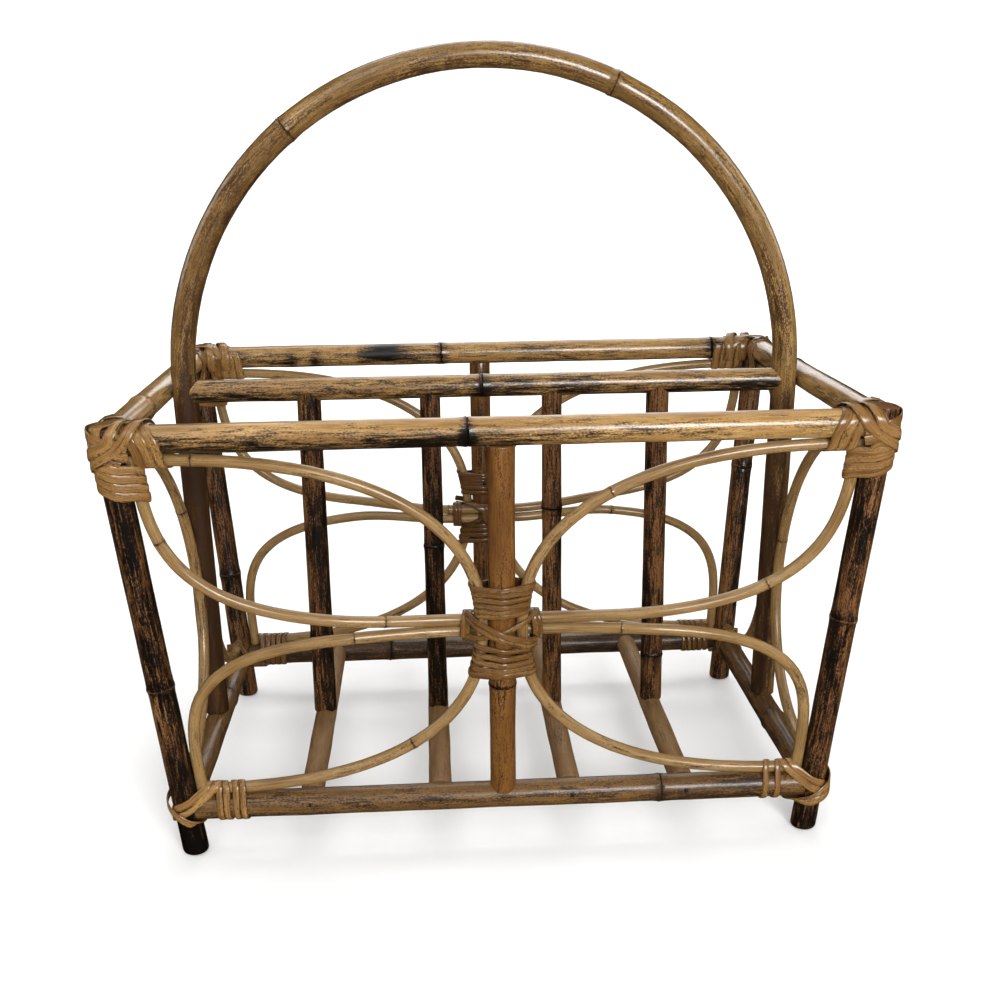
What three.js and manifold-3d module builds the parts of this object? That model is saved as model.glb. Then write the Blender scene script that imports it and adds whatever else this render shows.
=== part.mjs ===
// A free-standing magazine basket of scorched rattan: two compartments on either side of a spindle
// divider, leaf-shaped cane work in its four sides, lashed corners and one bent carrying handle.
// Millimetres. X runs along the basket, Y from front to back, Z up. The origin is on the floor,
// under the middle of the basket.

import * as THREE from "three";
import { mergeVertices } from "three/addons/utils/BufferGeometryUtils.js";
import Module from "manifold-3d";

const wasm = await Module();
wasm.setup();

// Driving sizes of the frame. Lengths and depths are between pole axes.
const rimLength = 430;
const rimDepth = 280;
const baseLength = 388;
const baseDepth = 238;
const rimHeight = 267;
const baseHeight = 32.2;
const overallHeight = 482;
const archRise = 8.4; // middle of the handle's arch above the rim rails' axes

// Pole and cane diameters.
const legDiameter = 15.8;
const railDiameter = 16.4;
const handleDiameter = 16.4;
const dividerDiameter = 15;
const spindleDiameters = [15.5, 13.4, 13.4, 15];
const slatDiameter = 14.4;
const postDiameter = 15.7;
const caneDiameter = 7;

// Fits and small sizes.
const clearance = 0.3; // between a pole and the piece that butts on it
const cutOverrun = 20; // how far a cutting tool reaches past what it cuts
const legTopDrop = 0.8; // leg top below the top of the rim rails
const slatRise = 1; // slat axis above the base rail axis
const slatNotchDepth = 2.6; // flat seat for a spindle in a slat's top
const handleNotchDepth = 1.2; // flat seat for the handle in a base side rail's top
const ringRise = 0.7; // how far the ring at a joint of the pole stands proud
const ringHalfWidth = 2.6;

// Where a pole that meets another ends, as a share of that one's radius from its axis.
const copeReachShare = 0.75;

// Joint rings along each pole, as shares of its length from its left, front or lower end.
const longRailRingShares = { frontRim: [0.45], backRim: [0.43, 0.91], frontBase: [0.76], backBase: [0.3] };
const sideRailRingShares = { leftRim: [0.3], rightRim: [0.62], leftBase: [0.66], rightBase: [0.36] };
const legRingShares = { frontLeft: [0.46], frontRight: [0.56], backLeft: [0.4], backRight: [0.66] };
const dividerRingShares = [0.49];
const postRingShares = { front: [0.33], back: [0.79] };
const spindleRingShares = [[0.24], [0.52], [0.63], [0.15]];
const handleRingDegrees = [65.8, 129.3]; // round the arch from its right-hand springing

// Places of the spindles and of the slats under them, as shares of half the base length.
const spindlePlaceShares = [-0.61, -0.2, 0.217, 0.583];

// Cane work. The exponents shape the bows: 2 is an ellipse, more is squarer.
const uprightBowExponent = 2.35; // the bows that pinch in at the post
const upperBowExponent = 3.4; // the level bow that rises to the rim corners
const lowerBowExponent = 3.8; // the level bow that drops to the base corners
const waistHeightShare = 0.49; // where the bows are tied, up from base rail to rim rail
const levelCaneReturnShare = 0.5; // where a level cane is back in its panel's plane
const sideCaneInset = 5.5; // a side cane's bow to the inside, at the waist

// Lashings, all of flat split cane.
const tapeWidth = 4.6;
const tapeThickness = 1.1;
const tapeGap = 0.6; // between a tape and what it is wound on
const leastTurnGap = 0.4; // between one stretch of tape and the next
const turnSpacing = 6;
const bandSpacing = 5.5;
const baseTurnSpacing = 7.5;
const railSlant = 3; // lean of a turn on a rim rail
const legSlant = 2; // lean of a turn on a leg under the rim
const bandHeight = 11.6; // where each band of the middle lashing starts, from the waist
const crossHigh = 10.7; // heights at which the middle cross passes the upright bows
const crossMiddle = 7;
const crossLow = 3.0;
const loopReach = 23; // where the cross goes round the level canes, from the post's axis
const sideTurns = 2;
const rimRailTurns = 3;
const rimLegTurns = 3.5;
const baseRailTurns = 2.5;
const upperBandTurns = 3;
const lowerBandTurns = 3.5;

// Nails.
const nailDiameter = 1.8;
const nailHeadDiameter = 4;
const nailHeadThickness = 0.9;
const nailSink = 0.2; // head below the pole's surface
const slatNailLength = 32;
const handleNailLength = 45;

// Facets.
const poleSides = 12;
const caneSides = 6;
const bowSteps = 22;
const levelBowSteps = 40;
const handleSides = 10;
const handleSteps = 40;
const nailSides = 6;
const stepsPerTurn = 9;

const legRadius = legDiameter / 2;
const railRadius = railDiameter / 2;
const handleRadius = handleDiameter / 2;
const dividerRadius = dividerDiameter / 2;
const slatRadius = slatDiameter / 2;
const postRadius = postDiameter / 2;
const caneRadius = caneDiameter / 2;

// Half the basket's length and depth at a height, to the leg axes, and the legs' lean.
const flare = rimHeight - baseHeight;
const lengthLean = (rimLength - baseLength) / 2 / flare;
const depthLean = (rimDepth - baseDepth) / 2 / flare;
const halfLengthAt = (height) => baseLength / 2 + (height - baseHeight) * lengthLean;
const halfDepthAt = (height) => baseDepth / 2 + (height - baseHeight) * depthLean;
const cornerAt = (sideX, sideY, height) =>
  new THREE.Vector3(sideX * halfLengthAt(height), sideY * halfDepthAt(height), height);

const sidesX = [["left", -1], ["right", 1]];
const sidesY = [["front", -1], ["back", 1]];
const levels = [["Rim", "rim", rimHeight], ["Base", "base", baseHeight]];

// A solid that can be cut, from a closed geometry.
function solidOf(geometry) {
  const bare = geometry.clone();
  for (const name of ["normal", "uv"]) bare.deleteAttribute(name);
  const merged = mergeVertices(bare);
  const corners = [];
  for (let i = 0; i < merged.index.count; i += 3) {
    const [a, b, c] = [0, 1, 2].map((k) => merged.index.getX(i + k));
    if (a !== b && b !== c && c !== a) corners.push(a, b, c);
  }
  return new wasm.Manifold(
    new wasm.Mesh({
      numProp: 3,
      vertProperties: merged.attributes.position.array,
      triVerts: new Uint32Array(corners),
    }),
  );
}

function geometryOf(solid) {
  const mesh = solid.getMesh();
  const geometry = new THREE.BufferGeometry();
  geometry.setAttribute("position", new THREE.BufferAttribute(mesh.vertProperties, mesh.numProp));
  geometry.setIndex(new THREE.BufferAttribute(mesh.triVerts, 1));
  geometry.computeVertexNormals();
  return geometry;
}

const cut = (solid, ...tools) => tools.reduce((left, tool) => left.subtract(tool), solid);

// A turned shape that stands on a point and runs in a direction. Its outline is given as pairs of
// radius and distance, and starts and ends on the axis.
function turnedSolid(outline, sides, start, direction) {
  const points = outline.map(([radius, distance]) => new THREE.Vector2(radius, distance));
  const up = new THREE.Vector3(0, 1, 0);
  const turn = new THREE.Quaternion().setFromUnitVectors(up, direction.clone().normalize());
  const geometry = new THREE.LatheGeometry(points, sides).applyQuaternion(turn);
  return solidOf(geometry.translate(start.x, start.y, start.z));
}

// A round pole between two points, with a raised ring at each of its joints.
function pole(from, to, radius, ringShares = []) {
  const length = from.distanceTo(to);
  const outline = [[0, 0], [radius, 0]];
  for (const share of ringShares) {
    outline.push([radius, share * length - ringHalfWidth]);
    outline.push([radius + ringRise, share * length]);
    outline.push([radius, share * length + ringHalfWidth]);
  }
  outline.push([radius, length], [0, length]);
  return turnedSolid(outline, poleSides, from, to.clone().sub(from));
}

function block(low, high) {
  const size = high.clone().sub(low);
  const middle = low.clone().add(high).divideScalar(2);
  const geometry = new THREE.BoxGeometry(size.x, size.y, size.z);
  return solidOf(geometry.translate(middle.x, middle.y, middle.z));
}

// A round rod along a curve.
function rodAlong(curve, radius, sides, steps) {
  const section = new THREE.Shape();
  for (let i = 0; i < sides; i++) {
    const angle = (2 * Math.PI * i) / sides;
    section[i ? "lineTo" : "moveTo"](radius * Math.cos(angle), radius * Math.sin(angle));
  }
  section.closePath();
  const shape = { steps, extrudePath: curve, bevelEnabled: false };
  return solidOf(new THREE.ExtrudeGeometry(section, shape));
}

// A curve given by a function of the share of its run.
class Line extends THREE.Curve {
  constructor(pointAt) {
    super();
    this.pointAt = pointAt;
  }
  getPoint(share, target = new THREE.Vector3()) {
    return target.copy(this.pointAt(share));
  }
}

const basket = new THREE.Group();
const scorched = { color: 0x4a3320, roughness: 0.45, metalness: 0 };
const honey = { color: 0xb58a4e, roughness: 0.4, metalness: 0 };
const pale = { color: 0xc39a5e, roughness: 0.5, metalness: 0 };
const steel = { color: 0x3c3a38, roughness: 0.5, metalness: 0.9 };

function add(group, name, geometry, look) {
  const mesh = new THREE.Mesh(geometry, new THREE.MeshStandardMaterial(look));
  mesh.name = name;
  group.add(mesh);
}
const addSolid = (group, name, solid, look) => add(group, name, geometryOf(solid), look);
function addGroup() {
  const group = new THREE.Group();
  basket.add(group);
  return group;
}

// A nail that lies level, driven from a surface point along a direction. Its hole is the same
// shape with clearance all round, open above the head.
function nail(start, direction, length, extra = 0, open = 0) {
  const headRadius = nailHeadDiameter / 2 + extra;
  const shankRadius = nailDiameter / 2 + extra;
  const outline = [
    [0, -open],
    [headRadius, -open],
    [headRadius, nailHeadThickness + extra],
    [shankRadius, nailHeadThickness + extra],
    [shankRadius, length - nailDiameter],
    [0, length + extra],
  ];
  return turnedSolid(outline, nailSides, start, direction);
}
const nailHole = (start, direction, length) => nail(start, direction, length, clearance, cutOverrun);

// Legs run straight from the floor, where they are cut level, to the top of the rim rails.
const legTop = rimHeight + railRadius - legTopDrop;
const legBlank = (sideX, sideY, radius, ringShares) =>
  pole(cornerAt(sideX, sideY, -cutOverrun), cornerAt(sideX, sideY, legTop), radius, ringShares);
const floorCut = block(
  new THREE.Vector3(-rimLength, -rimLength, -rimLength),
  new THREE.Vector3(rimLength, rimLength, 0),
);
const legTools = sidesX.flatMap(([, sideX]) =>
  sidesY.map(([, sideY]) => legBlank(sideX, sideY, legRadius + clearance)),
);
const frameGroup = addGroup();
for (const [nameX, sideX] of sidesX)
  for (const [nameY, sideY] of sidesY) {
    const rings = legRingShares[nameY + nameX[0].toUpperCase() + nameX.slice(1)];
    const leg = cut(legBlank(sideX, sideY, legRadius, rings), floorCut);
    addSolid(frameGroup, `${nameY}_${nameX}_leg`, leg, scorched);
  }

// A rail's blank runs nearly from leg axis to leg axis, and is then cut to fit round the legs.
function railBlank(from, to, radius, ringShares) {
  const reach = to.clone().sub(from).setLength(legRadius * copeReachShare);
  return pole(from.clone().add(reach), to.clone().sub(reach), radius, ringShares);
}
const longRailBlank = (sideY, height, radius, ringShares) =>
  railBlank(cornerAt(-1, sideY, height), cornerAt(1, sideY, height), radius, ringShares);
const longRailTools = (height) =>
  sidesY.map(([, sideY]) => longRailBlank(sideY, height, railRadius + clearance));

// The handle is one pole: up from each base side rail, leaning out to the inside of the rim rail,
// then bent in half an ellipse that the straight stretches run into without a kink.
const handleSeat = baseHeight + railRadius - handleNotchDepth;
const handleFoot = new THREE.Vector2(baseLength / 2, handleSeat + clearance);
const handleAtRim = rimLength / 2 - railRadius - clearance - handleRadius;
const handleSlope = (handleAtRim - handleFoot.x) / (rimHeight - handleFoot.y);
const handleLegAt = (side, height) =>
  new THREE.Vector3(side * (handleFoot.x + (height - handleFoot.y) * handleSlope), 0, height);
const archCentre = rimHeight + archRise;
const archHeight = overallHeight - handleRadius - archCentre;
const archReach = Math.sqrt(handleLegAt(1, archCentre).x ** 2 - (handleSlope * archHeight) ** 2);
const archTurn = Math.atan2(handleSlope * archHeight, archReach); // past the half ellipse at each end
const archPoint = (angle) =>
  new THREE.Vector3(archReach * Math.cos(angle), 0, archCentre + archHeight * Math.sin(angle));
const handleStart = handleFoot.y - handleNotchDepth;
const archStart = archPoint(-archTurn).z;
const archShare = (Math.PI * archHeight) / (Math.PI * archHeight + 2 * (archStart - handleStart));
const handleLine = new Line((share) => {
  const side = share < 0.5 ? -1 : 1;
  const along = Math.abs(2 * share - 1);
  if (along > archShare) {
    const rise = (archStart - handleStart) * ((1 - along) / (1 - archShare));
    return handleLegAt(side, handleStart + rise);
  }
  const angle = (along / archShare) * (Math.PI / 2 + archTurn);
  return archPoint(Math.PI / 2 - side * angle);
});
const handleRings = handleRingDegrees.map((degrees) => {
  const angle = THREE.MathUtils.degToRad(degrees);
  const slope = new THREE.Vector3(-archReach * Math.sin(angle), 0, archHeight * Math.cos(angle));
  const direction = slope.normalize();
  const start = archPoint(angle).addScaledVector(direction, -ringHalfWidth);
  const outline = [
    [0, 0],
    [handleRadius - ringRise, 0],
    [handleRadius + ringRise, ringHalfWidth],
    [handleRadius - ringRise, 2 * ringHalfWidth],
    [0, 2 * ringHalfWidth],
  ];
  return turnedSolid(outline, handleSides, start, direction);
});
const belowHandle = block(
  new THREE.Vector3(-rimLength, -cutOverrun, -cutOverrun),
  new THREE.Vector3(rimLength, cutOverrun, handleFoot.y),
);
const handleTool = rodAlong(handleLine, handleRadius + clearance, handleSides, handleSteps);
const handleNailStart = (side) =>
  new THREE.Vector3(side * (rimLength / 2 + railRadius - nailSink), 0, rimHeight);
const inward = (side) => new THREE.Vector3(-side, 0, 0);
const handleNailHoles = sidesX.map(([, side]) =>
  nailHole(handleNailStart(side), inward(side), handleNailLength),
);
const handleBlank = rodAlong(handleLine, handleRadius, handleSides, handleSteps);
const handlePole = handleRings.reduce((all, ring) => all.add(ring), handleBlank);
const carryGroup = addGroup();
addSolid(carryGroup, "handle", cut(handlePole, belowHandle, ...handleNailHoles), honey);
for (const [nameX, side] of sidesX) {
  const solid = nail(handleNailStart(side), inward(side), handleNailLength);
  addSolid(carryGroup, `${nameX}_handle_nail`, solid, steel);
}

// Slats run from base rail to base rail and are nailed through them.
const slatHeight = baseHeight + slatRise;
const slatPlaces = spindlePlaceShares.map((share) => (share * baseLength) / 2);
const slatNailStart = (slatX, sideY) =>
  new THREE.Vector3(slatX, sideY * (baseDepth / 2 + railRadius - nailSink), slatHeight);
const across = (sideY) => new THREE.Vector3(0, -sideY, 0);
const slatNailHole = (slatX, sideY) =>
  nailHole(slatNailStart(slatX, sideY), across(sideY), slatNailLength);

// Long rails at the rim and the base, then the short side rails, which butt between the legs.
for (const [key, level, height] of levels) {
  const longTools = longRailTools(height);
  for (const [nameY, sideY] of sidesY) {
    const blank = longRailBlank(sideY, height, railRadius, longRailRingShares[nameY + key]);
    const holes = level === "base" ? slatPlaces.map((slatX) => slatNailHole(slatX, sideY)) : [];
    addSolid(frameGroup, `${nameY}_${level}_rail`, cut(blank, ...legTools, ...holes), honey);
  }
  for (const [nameX, sideX] of sidesX) {
    const [from, to] = sidesY.map(([, sideY]) => cornerAt(sideX, sideY, height));
    const blank = railBlank(from, to, railRadius, sideRailRingShares[nameX + key]);
    const reach = new THREE.Vector3(cutOverrun, handleRadius + clearance, 0);
    const seat = new THREE.Vector3((sideX * baseLength) / 2, 0, handleSeat);
    const top = seat.clone().add(new THREE.Vector3(0, 0, cutOverrun));
    const notch = block(seat.sub(reach), top.add(reach));
    const marks = level === "base" ? [notch] : handleNailHoles;
    const rail = cut(blank, ...legTools, ...longTools, ...marks);
    addSolid(frameGroup, `${nameX}_${level}_rail`, rail, honey);
  }
}

// The divider: a rail between the handle's two legs, and spindles from it down to the slats.
const dividerGroup = addGroup();
const dividerEnds = sidesX.map(([, side]) => handleLegAt(side, rimHeight));
const dividerBlank = pole(...dividerEnds, dividerRadius, dividerRingShares);
const divider = cut(dividerBlank, handleTool, ...handleNailHoles);
addSolid(dividerGroup, "divider_rail", divider, honey);
const dividerTool = pole(...dividerEnds, dividerRadius + clearance);
const spindleSeat = slatHeight + slatRadius - slatNotchDepth;
slatPlaces.forEach((slatX, i) => {
  const spindleRadius = spindleDiameters[i] / 2;
  const foot = new THREE.Vector3(slatX, 0, spindleSeat + clearance);
  const head = new THREE.Vector3(slatX, 0, rimHeight);
  const spindle = cut(pole(foot, head, spindleRadius, spindleRingShares[i]), dividerTool);
  addSolid(dividerGroup, `spindle_${i + 1}`, spindle, scorched);

  const halfRun = baseDepth / 2 - railRadius * copeReachShare;
  const [from, to] = sidesY.map(([, sideY]) => new THREE.Vector3(slatX, sideY * halfRun, slatHeight));
  const reach = spindleRadius + clearance;
  const notch = block(
    new THREE.Vector3(slatX - cutOverrun, -reach, spindleSeat),
    new THREE.Vector3(slatX + cutOverrun, reach, spindleSeat + cutOverrun),
  );
  const holes = sidesY.map(([, sideY]) => slatNailHole(slatX, sideY));
  const slat = cut(pole(from, to, slatRadius), ...longRailTools(baseHeight), notch, ...holes);
  addSolid(dividerGroup, `floor_slat_${i + 1}`, slat, pale);
  for (const [nameY, sideY] of sidesY) {
    const solid = nail(slatNailStart(slatX, sideY), across(sideY), slatNailLength);
    addSolid(dividerGroup, `${nameY}_slat_nail_${i + 1}`, solid, steel);
  }
});

// Cane work. A bow is half of a squared-off ellipse. The far share runs from 0 at its ends, where
// it is furthest from the middle, to 1, and the end share from 0 at the middle to 1 at the ends.
const waistHeight = baseHeight + flare * waistHeightShare;
const besideCane = clearance + caneRadius;
const caneUnderRim = rimHeight - railRadius - besideCane;
const caneOverBase = baseHeight + railRadius + besideCane;
const levelEndAtRim = rimHeight - railRadius - clearance;
const levelEndAtBase = baseHeight + railRadius + clearance;
const besideLeg = legRadius + besideCane;
const besidePost = postRadius + besideCane;
const levelHalfGap = besideCane - clearance / 2; // level cane axes above and below the waist

function squaredQuarter(exponent, share) {
  const angle = (share * Math.PI) / 2;
  const [x, y] = [Math.cos(angle), Math.sin(angle)];
  const size = (x ** exponent + y ** exponent) ** (-1 / exponent);
  return [x * size, y * size];
}

// An upright bow from near the rim to near the base, bent in towards the middle at the waist.
function uprightBow(side, nearest, endAt, place) {
  return new Line((share) => {
    const upper = share < 0.5;
    const end = upper ? caneUnderRim : caneOverBase;
    const [near, along] = squaredQuarter(uprightBowExponent, Math.abs(1 - 2 * share));
    const out = nearest + (endAt(end) - nearest) * (1 - near);
    return place(side * out, waistHeight + (end - waistHeight) * along);
  });
}

// How far out such a bow is at a height, and its height at a distance out.
const bowPartner = (share) =>
  (1 - THREE.MathUtils.clamp(share, 0, 1) ** uprightBowExponent) ** (1 / uprightBowExponent);
function uprightBowOutAt(height, nearest, endAt) {
  const end = height > waistHeight ? caneUnderRim : caneOverBase;
  const near = bowPartner((height - waistHeight) / (end - waistHeight));
  return nearest + (endAt(end) - nearest) * (1 - near);
}
function uprightBowHeightAt(out, end, nearest, endAt) {
  const far = (out - nearest) / (endAt(end) - nearest);
  return waistHeight + (end - waistHeight) * bowPartner(1 - far);
}

// A level bow from one corner of a long side, across behind the post, to the other corner.
function levelBow(exponent, endHeight, middleHeight, place) {
  return new Line((share) => {
    const side = share < 0.5 ? -1 : 1;
    const [far, along] = squaredQuarter(exponent, 1 - Math.abs(1 - 2 * share));
    const height = endHeight + (middleHeight - endHeight) * along;
    return place(side * far * (halfLengthAt(height) - besideLeg), height);
  });
}
// How far inward of the leg's axis a level bow lies at a height.
function levelBowInset(exponent, endHeight, middleHeight, height) {
  const along = Math.min(1, Math.max(0, (height - endHeight) / (middleHeight - endHeight)));
  const far = (1 - along ** exponent) ** (1 / exponent);
  return halfLengthAt(height) - far * (halfLengthAt(height) - besideLeg);
}
const upperBow = [upperBowExponent, levelEndAtRim, waistHeight + levelHalfGap];
const lowerBow = [lowerBowExponent, levelEndAtBase, waistHeight - levelHalfGap];
const longBowEnd = (height) => halfLengthAt(height) - besideLeg - caneRadius - clearance;

const caneGroup = addGroup();
for (const [nameY, sideY] of sidesY) {
  const inPanel = (x, height) => new THREE.Vector3(x, sideY * halfDepthAt(height), height);
  const behindPost = (x, height) => {
    const back = levelCaneReturnShare * halfLengthAt(height);
    const share = 1 - THREE.MathUtils.smoothstep(Math.abs(x), loopReach, back);
    return inPanel(x, height).sub(new THREE.Vector3(0, sideY * besidePost * share, 0));
  };
  const postEnds = [inPanel(0, baseHeight), inPanel(0, rimHeight)];
  const railTools = levels.map(([, , height]) => longRailBlank(sideY, height, railRadius + clearance));
  const post = cut(pole(...postEnds, postRadius, postRingShares[nameY]), ...railTools);
  addSolid(caneGroup, `${nameY}_post`, post, honey);
  for (const [nameX, sideX] of sidesX) {
    const bow = uprightBow(sideX, besidePost, longBowEnd, inPanel);
    const cane = rodAlong(bow, caneRadius, caneSides, bowSteps);
    addSolid(caneGroup, `${nameY}_${nameX}_bow_cane`, cane, pale);
  }
  for (const [name, bow] of [["upper", upperBow], ["lower", lowerBow]]) {
    const cane = rodAlong(levelBow(...bow, behindPost), caneRadius, caneSides, levelBowSteps);
    addSolid(caneGroup, `${nameY}_${name}_level_cane`, cane, pale);
  }
}

// The side bows lean on the handle's legs at the waist.
const handleToCane = halfLengthAt(waistHeight) - sideCaneInset - handleLegAt(1, waistHeight).x;
const besideHandle = Math.sqrt((handleRadius + besideCane) ** 2 - handleToCane ** 2);
const sideBowEnd = (height) => halfDepthAt(height) - legRadius - 2 * clearance;
for (const [nameX, sideX] of sidesX)
  for (const [nameY, sideY] of sidesY) {
    const inSide = (y, height) => {
      const share = (height - caneOverBase) / (caneUnderRim - caneOverBase);
      const inset = sideCaneInset * Math.sin(Math.PI * share);
      return new THREE.Vector3(sideX * (halfLengthAt(height) - inset), y, height);
    };
    const bow = uprightBow(sideY, besideHandle, sideBowEnd, inSide);
    const cane = rodAlong(bow, caneRadius, caneSides, bowSteps);
    addSolid(caneGroup, `${nameX}_${nameY}_side_cane`, cane, pale);
  }

// A flat tape along stations, each a point on the tape's underside and the way out from what it
// lies on. It is one unbroken strip with closed ends. Its corners come with it, for measuring.
function tapeAlong(stations) {
  const corners = [];
  stations.forEach(({ point, out }, i) => {
    const before = stations[Math.max(i - 1, 0)].point;
    const after = stations[Math.min(i + 1, stations.length - 1)].point;
    const along = after.clone().sub(before).normalize();
    const side = along.clone().cross(out).setLength(tapeWidth / 2);
    const up = side.clone().cross(along).setLength(tapeThickness);
    corners.push(point.clone().sub(side), point.clone().add(side));
    corners.push(point.clone().add(side).add(up), point.clone().sub(side).add(up));
  });
  const triangles = [];
  const quad = (a, b, c, d) => triangles.push(a, b, c, a, c, d);
  for (let i = 4; i < corners.length; i += 4)
    for (let k = 0; k < 4; k++) {
      const next = (k + 1) % 4;
      quad(i + k, i + next, i - 4 + next, i - 4 + k);
    }
  const last = corners.length - 4;
  quad(0, 1, 2, 3);
  quad(last + 3, last + 2, last + 1, last);
  const geometry = new THREE.BufferGeometry();
  const numbers = corners.flatMap((corner) => corner.toArray());
  geometry.setAttribute("position", new THREE.Float32BufferAttribute(numbers, 3));
  geometry.setIndex(triangles);
  geometry.computeVertexNormals();
  return { geometry, corners };
}

// The least gap between stretches of tape that aren't neighbours, measured between points spread
// over the tape's edges and middle lines.
function leastGap(corners) {
  const points = [];
  let run = 0;
  for (let i = 0; i + 4 < corners.length; i += 4) {
    for (const share of [0, 0.25, 0.5, 0.75])
      for (const side of [0, 0.25, 0.5, 0.75, 1])
        for (const [a, b] of [[0, 1], [3, 2]]) {
          const here = corners[i + a].clone().lerp(corners[i + b], side);
          const next = corners[i + 4 + a].clone().lerp(corners[i + 4 + b], side);
          points.push({ at: here.lerp(next, share), run: run + share * here.distanceTo(next) });
        }
    run += corners[i].distanceTo(corners[i + 4]);
  }
  const neighbour = 3 * tapeWidth;
  let least = Infinity;
  for (let i = 0; i < points.length; i++)
    for (let j = i + 1; j < points.length; j++)
      if (points[j].run - points[i].run > neighbour)
        least = Math.min(least, points[i].at.distanceToSquared(points[j].at));
  return Math.sqrt(least);
}

// Where a taut loop round some circles lies, a tape's gap away, in the direction of an angle.
const reachOf = ({ centre, radius }, out) => centre[0] * out[0] + centre[1] * out[1] + radius;
const wayOut = (angle) => [Math.cos(angle), Math.sin(angle)];
function furthest(circles, angle) {
  const out = wayOut(angle);
  return circles.reduce((best, circle) => (reachOf(circle, out) > reachOf(best, out) ? circle : best));
}
function tautPoint({ centre, radius }, angle, lift) {
  const out = wayOut(angle);
  const round = (radius + tapeGap + lift) / Math.cos(Math.PI / stepsPerTurn);
  return { at: [centre[0] + out[0] * round, centre[1] + out[1] * round], out };
}

// Turns of tape round circles, which may drift along the axis. placeAt gives the place on the
// axis for a count of turns and an angle, and put makes a point of a place and plane coordinates.
// Where the tape passes from one circle to the next it leaves and lands at the same angle.
function coil({ turns, start, direction, placeAt, circlesAt, put, liftAt = () => 0 }) {
  const steps = Math.ceil(turns * stepsPerTurn);
  const stepTurn = turns / steps;
  const stations = [];
  const station = (circle, turn, angle) => {
    const place = placeAt(turn, angle);
    const { at, out } = tautPoint(circle, angle, liftAt(turn));
    const outward = put(0, out).sub(put(0, [0, 0]));
    stations.push({ point: put(place, at), out: outward.normalize() });
  };
  const heldAt = (turn, angle) => furthest(circlesAt(placeAt(turn, angle)), angle);
  const angleAt = (turn) => start + direction * 2 * Math.PI * turn;
  let held = null;
  for (let i = 0; i <= steps; i++) {
    const turn = i * stepTurn;
    const next = heldAt(turn, angleAt(turn));
    if (held && Math.hypot(held.centre[0] - next.centre[0], held.centre[1] - next.centre[1]) > caneRadius) {
      let [low, high] = [turn - stepTurn, turn];
      for (let k = 0; k < stepsPerTurn; k++) {
        const middle = (low + high) / 2;
        const circle = heldAt(middle, angleAt(middle));
        const nearNext = Math.hypot(circle.centre[0] - next.centre[0], circle.centre[1] - next.centre[1]);
        if (nearNext < caneRadius) high = middle;
        else low = middle;
      }
      station(held, low, angleAt(low));
      station(next, high, angleAt(high));
    }
    station(next, turn, angleAt(turn));
    held = next;
  }
  return stations;
}

// Corner lashings, in a corner's own directions: inward along the long rail from the leg's axis,
// outward from the long side, and up from the rail's axis.
const quarter = Math.PI / 2;
const legAt = (up) => [-lengthLean * up, depthLean * up];
const caneDrop = railRadius + besideCane;
const tapeStack = tapeGap + tapeThickness;
const crossLift = tapeThickness + 2 * leastTurnGap;
const onLongRail = (place, [outward, up]) => new THREE.Vector3(place, outward, up);
const onSideRail = (place, [inwards, up]) => new THREE.Vector3(inwards, -place, up);
const onLeg = (place, [inwards, outward]) => new THREE.Vector3(inwards, outward, place);
const legCircle = (up) => ({ centre: legAt(up), radius: legRadius });
const railCircle = { centre: [0, 0], radius: railRadius };

// Under the rim: turns on the side rail, across the top to turns on the long rail, then down over
// them in front of the leg, and turns on the leg.
function rimLashing() {
  const longRail = (place) => {
    const height = uprightBowHeightAt(rimLength / 2 - place, caneUnderRim, besidePost, longBowEnd);
    const up = height - rimHeight;
    return [railCircle, { centre: [depthLean * up, up], radius: caneRadius }];
  };
  const sideRail = (place) => {
    const height = uprightBowHeightAt(rimDepth / 2 - place, caneUnderRim, besideHandle, sideBowEnd);
    const up = height - rimHeight;
    return [railCircle, { centre: [-lengthLean * up, up], radius: caneRadius }];
  };
  const legAndCane = (up) => {
    const inset = levelBowInset(...upperBow, rimHeight + up - tapeWidth / 2);
    return [legCircle(up), { centre: [inset - lengthLean * up, legAt(up)[1]], radius: caneRadius }];
  };
  const sideNear = legRadius + tapeStack + leastTurnGap + tapeWidth / 2;
  const side = coil({
    turns: sideTurns,
    start: quarter,
    direction: -1,
    placeAt: (turn) => sideNear + (sideTurns - turn) * turnSpacing,
    circlesAt: sideRail,
    put: onSideRail,
  });
  const railNear = legRadius + tapeGap + tapeWidth / 2;
  const liftRun = 1 / 6;
  const rail = coil({
    turns: rimRailTurns,
    start: quarter,
    direction: -1,
    placeAt: (turn, angle) => railNear + turn * turnSpacing + railSlant * (1 - Math.sin(angle)),
    circlesAt: longRail,
    put: onLongRail,
    liftAt: (turn) => crossLift * Math.max(0, 1 - (rimRailTurns - turn) / liftRun),
  });
  const legNear = caneDrop + caneRadius + tapeWidth / 2;
  const legPlace = (turn, angle) =>
    -legNear - turn * turnSpacing + legSlant * Math.cos(angle - 1.5 * quarter);
  const leg = coil({
    turns: rimLegTurns,
    start: 2 * quarter,
    direction: 1,
    placeAt: legPlace,
    circlesAt: legAndCane,
    put: onLeg,
  });
  const railFar = railNear + rimRailTurns * turnSpacing;
  const overRail = [1 / 3, 2 / 3, 1].map((share) => {
    const angle = quarter * (1 - share);
    const { at, out } = tautPoint(railCircle, angle, crossLift);
    const place = railFar + (legDiameter - railFar) * share;
    return { point: onLongRail(place, at), out: onLongRail(0, out) };
  });
  const overLeg = [0, 1 / 3, 2 / 3].map((share) => {
    const angle = quarter * (1 + share);
    const up = -legRadius + (legPlace(0, 2 * quarter) + legRadius) * share;
    const { at, out } = tautPoint(legCircle(up), angle, 0);
    return { point: onLeg(up, at), out: onLeg(0, out) };
  });
  return [...side, ...rail, ...overRail, ...overLeg, ...leg];
}

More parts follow.
